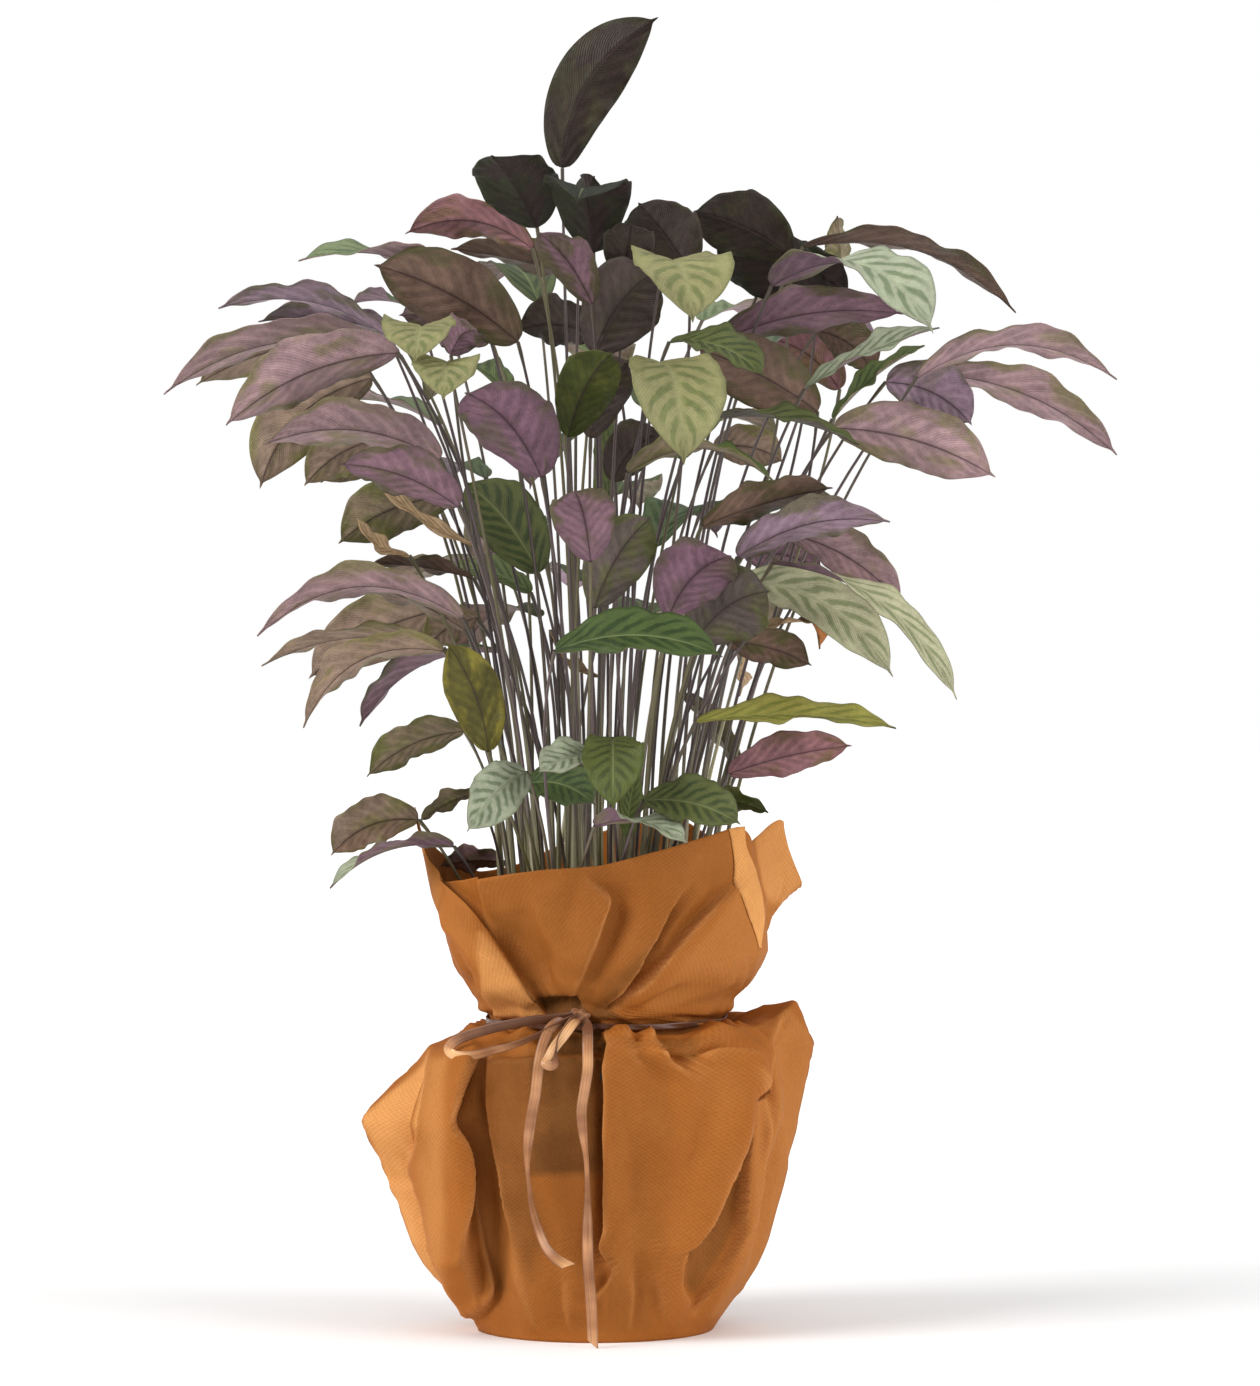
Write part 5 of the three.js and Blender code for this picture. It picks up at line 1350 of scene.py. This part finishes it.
def layBlade(bm, layers, row, slide, index):
    # one blade: its midrib's curve, its outline, its cupped and rippled face, and its place along it
    midrib, rise, side = bladeForm(row, slide)
    width, faceJoint, faceTip, look = row[7:]
    run = np.linspace(0, 1, leaf["along"] + 1)
    t = run + 0.11 * np.sin(2 * np.pi * run) * -0.5          # closer rows at both ends
    spine, along = curveAt(midrib, t)
    up = rise - (along @ rise)[:, None] * along
    up /= np.linalg.norm(up, axis=1)[:, None]
    turn = np.radians(faceJoint + (faceTip - faceJoint) * t)[:, None]
    face = up * np.cos(turn) + side * np.sin(turn)
    over = np.cross(face, along)
    s = -np.linspace(-1, 1, leaf["across"] + 1)
    half = (width * bladeOutline(t))[:, None]
    lift = bladeLift(half, t[:, None], s[None, :], width, index)[:, :, None]
    aside = (half * s[None, :] * math.cos(math.radians(leaf["cup"])))[:, :, None]
    points = spine[:, None, :] + over[:, None, :] * aside + face[:, None, :] * lift
    place, *tints = layers
    colours = [tone(*colour) for colour in looks[look]]
    rows = gridOf(bm, leaf["across"], leaf["along"])
    for j, verts in enumerate(rows):
        for i, vert in enumerate(verts):
            vert.co = Vector(points[j, i]) * mm
            vert[place] = (t[j], s[i], index * leaf["own"])
            for tint, colour in zip(tints, colours):
                vert[tint] = colour
    bmesh.ops.remove_doubles(bm, verts=rows[0] + rows[-1], dist=0.02 * mm)
    return spine[0], along[0], over[0]


def layStalk(bm, layers, foot, joint, arrive, over, index, look):
    # a round stalk from the soil to the blade's joint, sheathed low down and swollen at the top
    climb = joint[2] - foot[2]
    low = foot + (joint - foot) * (stalk["lean"], stalk["lean"], stalk["bendLow"])
    lean = (joint - low) / np.linalg.norm(joint - low)
    bend = 0.75 * lean + 0.25 * arrive
    high = joint - bend / np.linalg.norm(bend) * stalk["bendHigh"] * climb
    t = np.append(np.linspace(0, 1, stalk["along"] + 1)[:-1], [0.985, 1.0])
    line, way = curveAt([foot, low, high, joint], t)
    run = np.concatenate([[0], np.cumsum(np.linalg.norm(np.diff(line, axis=0), axis=1))])
    share = run / run[-1]
    radius = np.interp(share, (0, stalk["sheathEnd"], 1), (stalk["foot"], stalk["sheath"], stalk["neck"]))
    radius += stalk["swelling"] * np.exp(-((run[-1] - run - 4) / (stalk["joint"] / 2)) ** 2)
    place, dark = layers
    rows = gridOf(bm, stalk["sides"], len(t) - 1)
    angles = np.linspace(0, 2 * math.pi, stalk["sides"] + 1)
    shade = tone(*looks[look][0])
    for j, verts in enumerate(rows):
        first = over - way[j] * (over @ way[j])
        first /= np.linalg.norm(first)
        second = np.cross(way[j], first)
        for vert, angle in zip(verts, angles):
            out = first * math.cos(angle) + second * math.sin(angle)
            vert.co = Vector(line[j] + out * radius[j]) * mm
            vert[place] = (run[j] * mm + index, math.sin(angle), share[j])
            vert[dark] = shade
    closeSeam(bm, rows, 0.02)


def leafFinish(name, upper):
    finish = Finish(name, Roughness=0.48, Specular_IOR_Level=0.25)
    t, side, seed = finish.parts(finish.attribute("leafPlace", "Vector"))
    aside = side.size()
    body = finish.attribute("topBody" if upper else "underBody")
    second = finish.attribute("topBar" if upper else "underTip")
    each = finish.grain(finish.vector(seed * 7.3, 0, 0), 1.7, 0)           # one value a leaf
    mottle = finish.grain(finish.places(), 44, 5, 0.62).step(0.32, 0.68)
    speck = finish.grain(finish.places(), 260, 4, 0.6).step(0.28, 0.72)
    wobble = finish.grain(finish.vector(t * 6, side * 2, seed), 1.5, 2)
    vein = t - leaf["slant"] * aside - 0.05 * aside * aside
    bars = (vein * leaf["bars"] + wobble * 0.6).wave()
    longer = (vein * (leaf["bars"] / 2) + wobble * 0.3).wave()
    fine = (vein * 44 + wobble * 1.2).wave()
    rib = 1 - aside.step(0.012, 0.045)
    margin = aside.step(0.86, 1.0)
    if upper:
        outer = aside - longer * 0.12 + mottle * 0.1
        reach = aside.step(0.02, 0.16) * (1 - outer.step(0.6, 0.95)) * (1 - t.step(0.86, 0.97))
        colour = finish.mix((bars - aside * 0.4).step(-0.8, 0.6) * reach * 0.8, body, second)
        colour = finish.mix(margin * 0.35 + mottle * 0.12, colour, second)
        light = 0.68 + 0.26 * mottle + 0.12 * each + 0.18 * speck + 0.06 * fine
        colour = finish.mix(rib * 0.4, finish.shade(colour, light), tone(140, 148, 104))
    else:
        patch = finish.grain(finish.vector(t * 3, side * 1.3, seed), 1, 2).step(0.35, 0.65)
        spread = (patch * 0.7 + aside * aside * 0.4 + mottle * 0.3 + each * 0.6 - 0.75).step(0.05, 0.75)
        colour = finish.mix(spread * 0.8, body, second)
        streak = (bars - aside * 0.3).step(-0.7, 0.9) * (1 - aside.step(0.6, 0.95)) * aside.step(0.03, 0.2)
        thread = (fine + mottle - 0.3).step(0.1, 1.0) * aside.step(0.04, 0.2)
        light = 0.42 + 0.24 * streak + 0.3 * mottle + 0.24 * each + 0.24 * speck + 0.2 * thread
        colour = finish.shade(colour, light)
        colour = finish.mix(rib * 0.7, colour, tone(58, 38, 38))
        colour = finish.mix(margin * mottle * 0.35, colour, second)
    finish.feed("Base Color", colour)
    finish.relief(bars * 0.3 + fine * 0.3 + speck * 0.3 + mottle * 0.4 + rib * -0.8, 0.6, 0.0006)
    return finish.material


def stalkFinish():
    finish = Finish("leafStalk", Roughness=0.38)
    run, around, share = finish.parts(finish.attribute("stalkPlace", "Vector"))
    each = finish.grain(finish.vector(run * 0.37, 0, 0), 3.1, 0)      # one value a stalk
    streak = finish.grain(finish.vector(run * 0.4, around * 0.9, 0), 5, 2)
    blotch = finish.grain(finish.vector(run * 22, around * 0.1, 0), 1, 3)
    # pale purple-grey streaks on the dark stalk: partly painted highlights, partly the stalk's own colour
    dark = finish.mix(streak.step(0.42, 0.62) * 0.75, tone(52, 40, 40), tone(122, 104, 100))
    dark = finish.mix(each.step(0.5, 0.62) * 0.7, dark, tone(104, 98, 58))
    dark = finish.mix(blotch.step(0.5, 0.8) * 0.4, dark, tone(46, 36, 34))
    sheath = finish.mix(streak.step(0.35, 0.6), tone(126, 120, 76), tone(206, 200, 162))
    colour = finish.mix((share + blotch * 0.3 + each * 0.5 - 0.5).step(0.12, 0.46), sheath, dark)
    colour = finish.mix(share.step(0.962, 0.98) * 0.5, colour, tone(78, 70, 46))
    finish.feed("Base Color", colour)
    finish.relief(streak, 0.4, 0.0004)
    return finish.material


leafTop, leafUnder, leafStem = leafFinish("leafAbove", True), leafFinish("leafBelow", False), stalkFinish()


def shootPlaces(names):
    # all corners of the modelled shoots with their owners, and the spot where each shoot stands
    owners, corners, spots = [], [], {}
    for name in names:
        places = [vert.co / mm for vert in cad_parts[name].data.vertices]
        owners += [name] * len(places)
        corners += places
        places = np.array(places)
        low = places[places[:, 2] < places[:, 2].min() + meeting["ground"]]
        spots[name] = np.unique(low.round(2), axis=0)[:, :2].mean(axis=0)
    return owners, corners, spots


def findShoots():
    # the leaves of each modelled shoot, as number, row and how far it stands back
    names = sorted(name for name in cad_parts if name.startswith("shoot_"))
    owners, corners, spots = shootPlaces(names)
    tree = KDTree(len(corners))
    for k, corner in enumerate(corners):
        tree.insert(corner, k)
    tree.balance()
    slides = [meeting["step"] * n for n in sorted(range(-meeting["tries"], meeting["tries"] + 1), key=abs)]
    shoots = {name: [] for name in names}
    for index, row in enumerate([*leaves, *backRows()]):
        x, z, y = row[3:6]
        found = [(tree.find(fromElevation(x, z, y + slide)), slide) for slide in slides]
        (_, k, away), slide = min(found, key=lambda each: each[0][2])
        if away > meeting["near"]:
            print("no modelled leaf meets leaf", index, round(away, 2))
        shoots[owners[k]].append((index, row, slide))
    return shoots, spots


def makeShoot(name, grown, spot):
    blades, stems = bmesh.new(), bmesh.new()
    tints = ("underBody", "underTip", "topBody", "topBar")
    bladeLayers = [blades.verts.layers.float_vector.new("leafPlace")]
    bladeLayers += [blades.verts.layers.float_color.new(tint) for tint in tints]
    stemLayers = (
        stems.verts.layers.float_vector.new("stalkPlace"), stems.verts.layers.float_color.new("stemTint"))
    for order, (index, row, slide) in enumerate(grown):
        joint, arrive, over = layBlade(blades, bladeLayers, row, slide, index)
        turn = order * math.pi / 2 + 0.6
        x, y = spot[0] + stalk["ring"] * math.cos(turn), spot[1] + stalk["ring"] * math.sin(turn)
        layStalk(stems, stemLayers, np.array([x, y, stalk["height"]]), joint, arrive, over, index, row[10])
    number = name[-2:]
    leafPiece = finished("leaves_" + number, blades, [leafTop, leafUnder])
    thicken(leafPiece, leaf["thickness"], -1, 1)
    stemPiece = finished("stalks_" + number, stems, [leafStem])
    for piece in (leafPiece, stemPiece):
        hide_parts(name)


shoots, spots = findShoots()
for name, grown in shoots.items():
    makeShoot(name, grown, spots[name])
print("shoots grown:", len(shoots), "with", sum(len(grown) for grown in shoots.values()), "leaves")


# a pale floor and soft light from all round
studio = {"floor": 30.0, "seen": 1.0, "world": 0.36}
lamps = {
    "key": {"from": (-0.8, -0.42, 0.5), "angle": 36, "power": 2.5},
    "fill": {"from": (0.82, -0.42, 0.45), "angle": 44, "power": 1.8},
    "top": {"from": (0, 0.1, 1), "angle": 80, "power": 0.9},
}


def makeFloor():
    paint = Finish("paleFloor", Roughness=0.9)
    haze = paint.grain(paint.places(), 3, 2)
    colour = paint.mix(haze, tone(250, 250, 250), tone(253, 253, 253))
    paint.feed("Base Color", paint.shade(colour, 1.0 + 0.01 * haze))
    bm = bmesh.new()
    bmesh.ops.create_grid(bm, x_segments=1, y_segments=1, size=studio["floor"])
    floor = placed("floor", meshFrom("floor", bm, [paint.material]))


def makeLight():
    world = bpy.data.worlds.new("studio")
    world.use_nodes = True
    tree = world.node_tree
    backdrop = tree.nodes["Background"]
    backdrop.inputs["Color"].default_value = (1, 1, 1, 1)
    rays = tree.nodes.new("ShaderNodeLightPath")       # the backdrop is white, and lights less
    strength = tree.nodes.new("ShaderNodeMapRange")
    strength.inputs["To Min"].default_value = studio["world"]
    strength.inputs["To Max"].default_value = studio["seen"]
    tree.links.new(rays.outputs["Is Camera Ray"], strength.inputs["Value"])
    tree.links.new(strength.outputs["Result"], backdrop.inputs["Strength"])
    bpy.context.scene.world = world
    for name, lamp in lamps.items():
        sun = bpy.data.lights.new(name, "SUN")
        sun.angle = math.radians(lamp["angle"])
        sun.energy = lamp["power"]
        light = placed(name, sun)
        light.rotation_euler = (-Vector(lamp["from"])).to_track_quat("-Z", "Y").to_euler()
    bpy.context.scene.view_settings.view_transform = "Standard"


makeFloor()
makeLight()
print("studio lit")
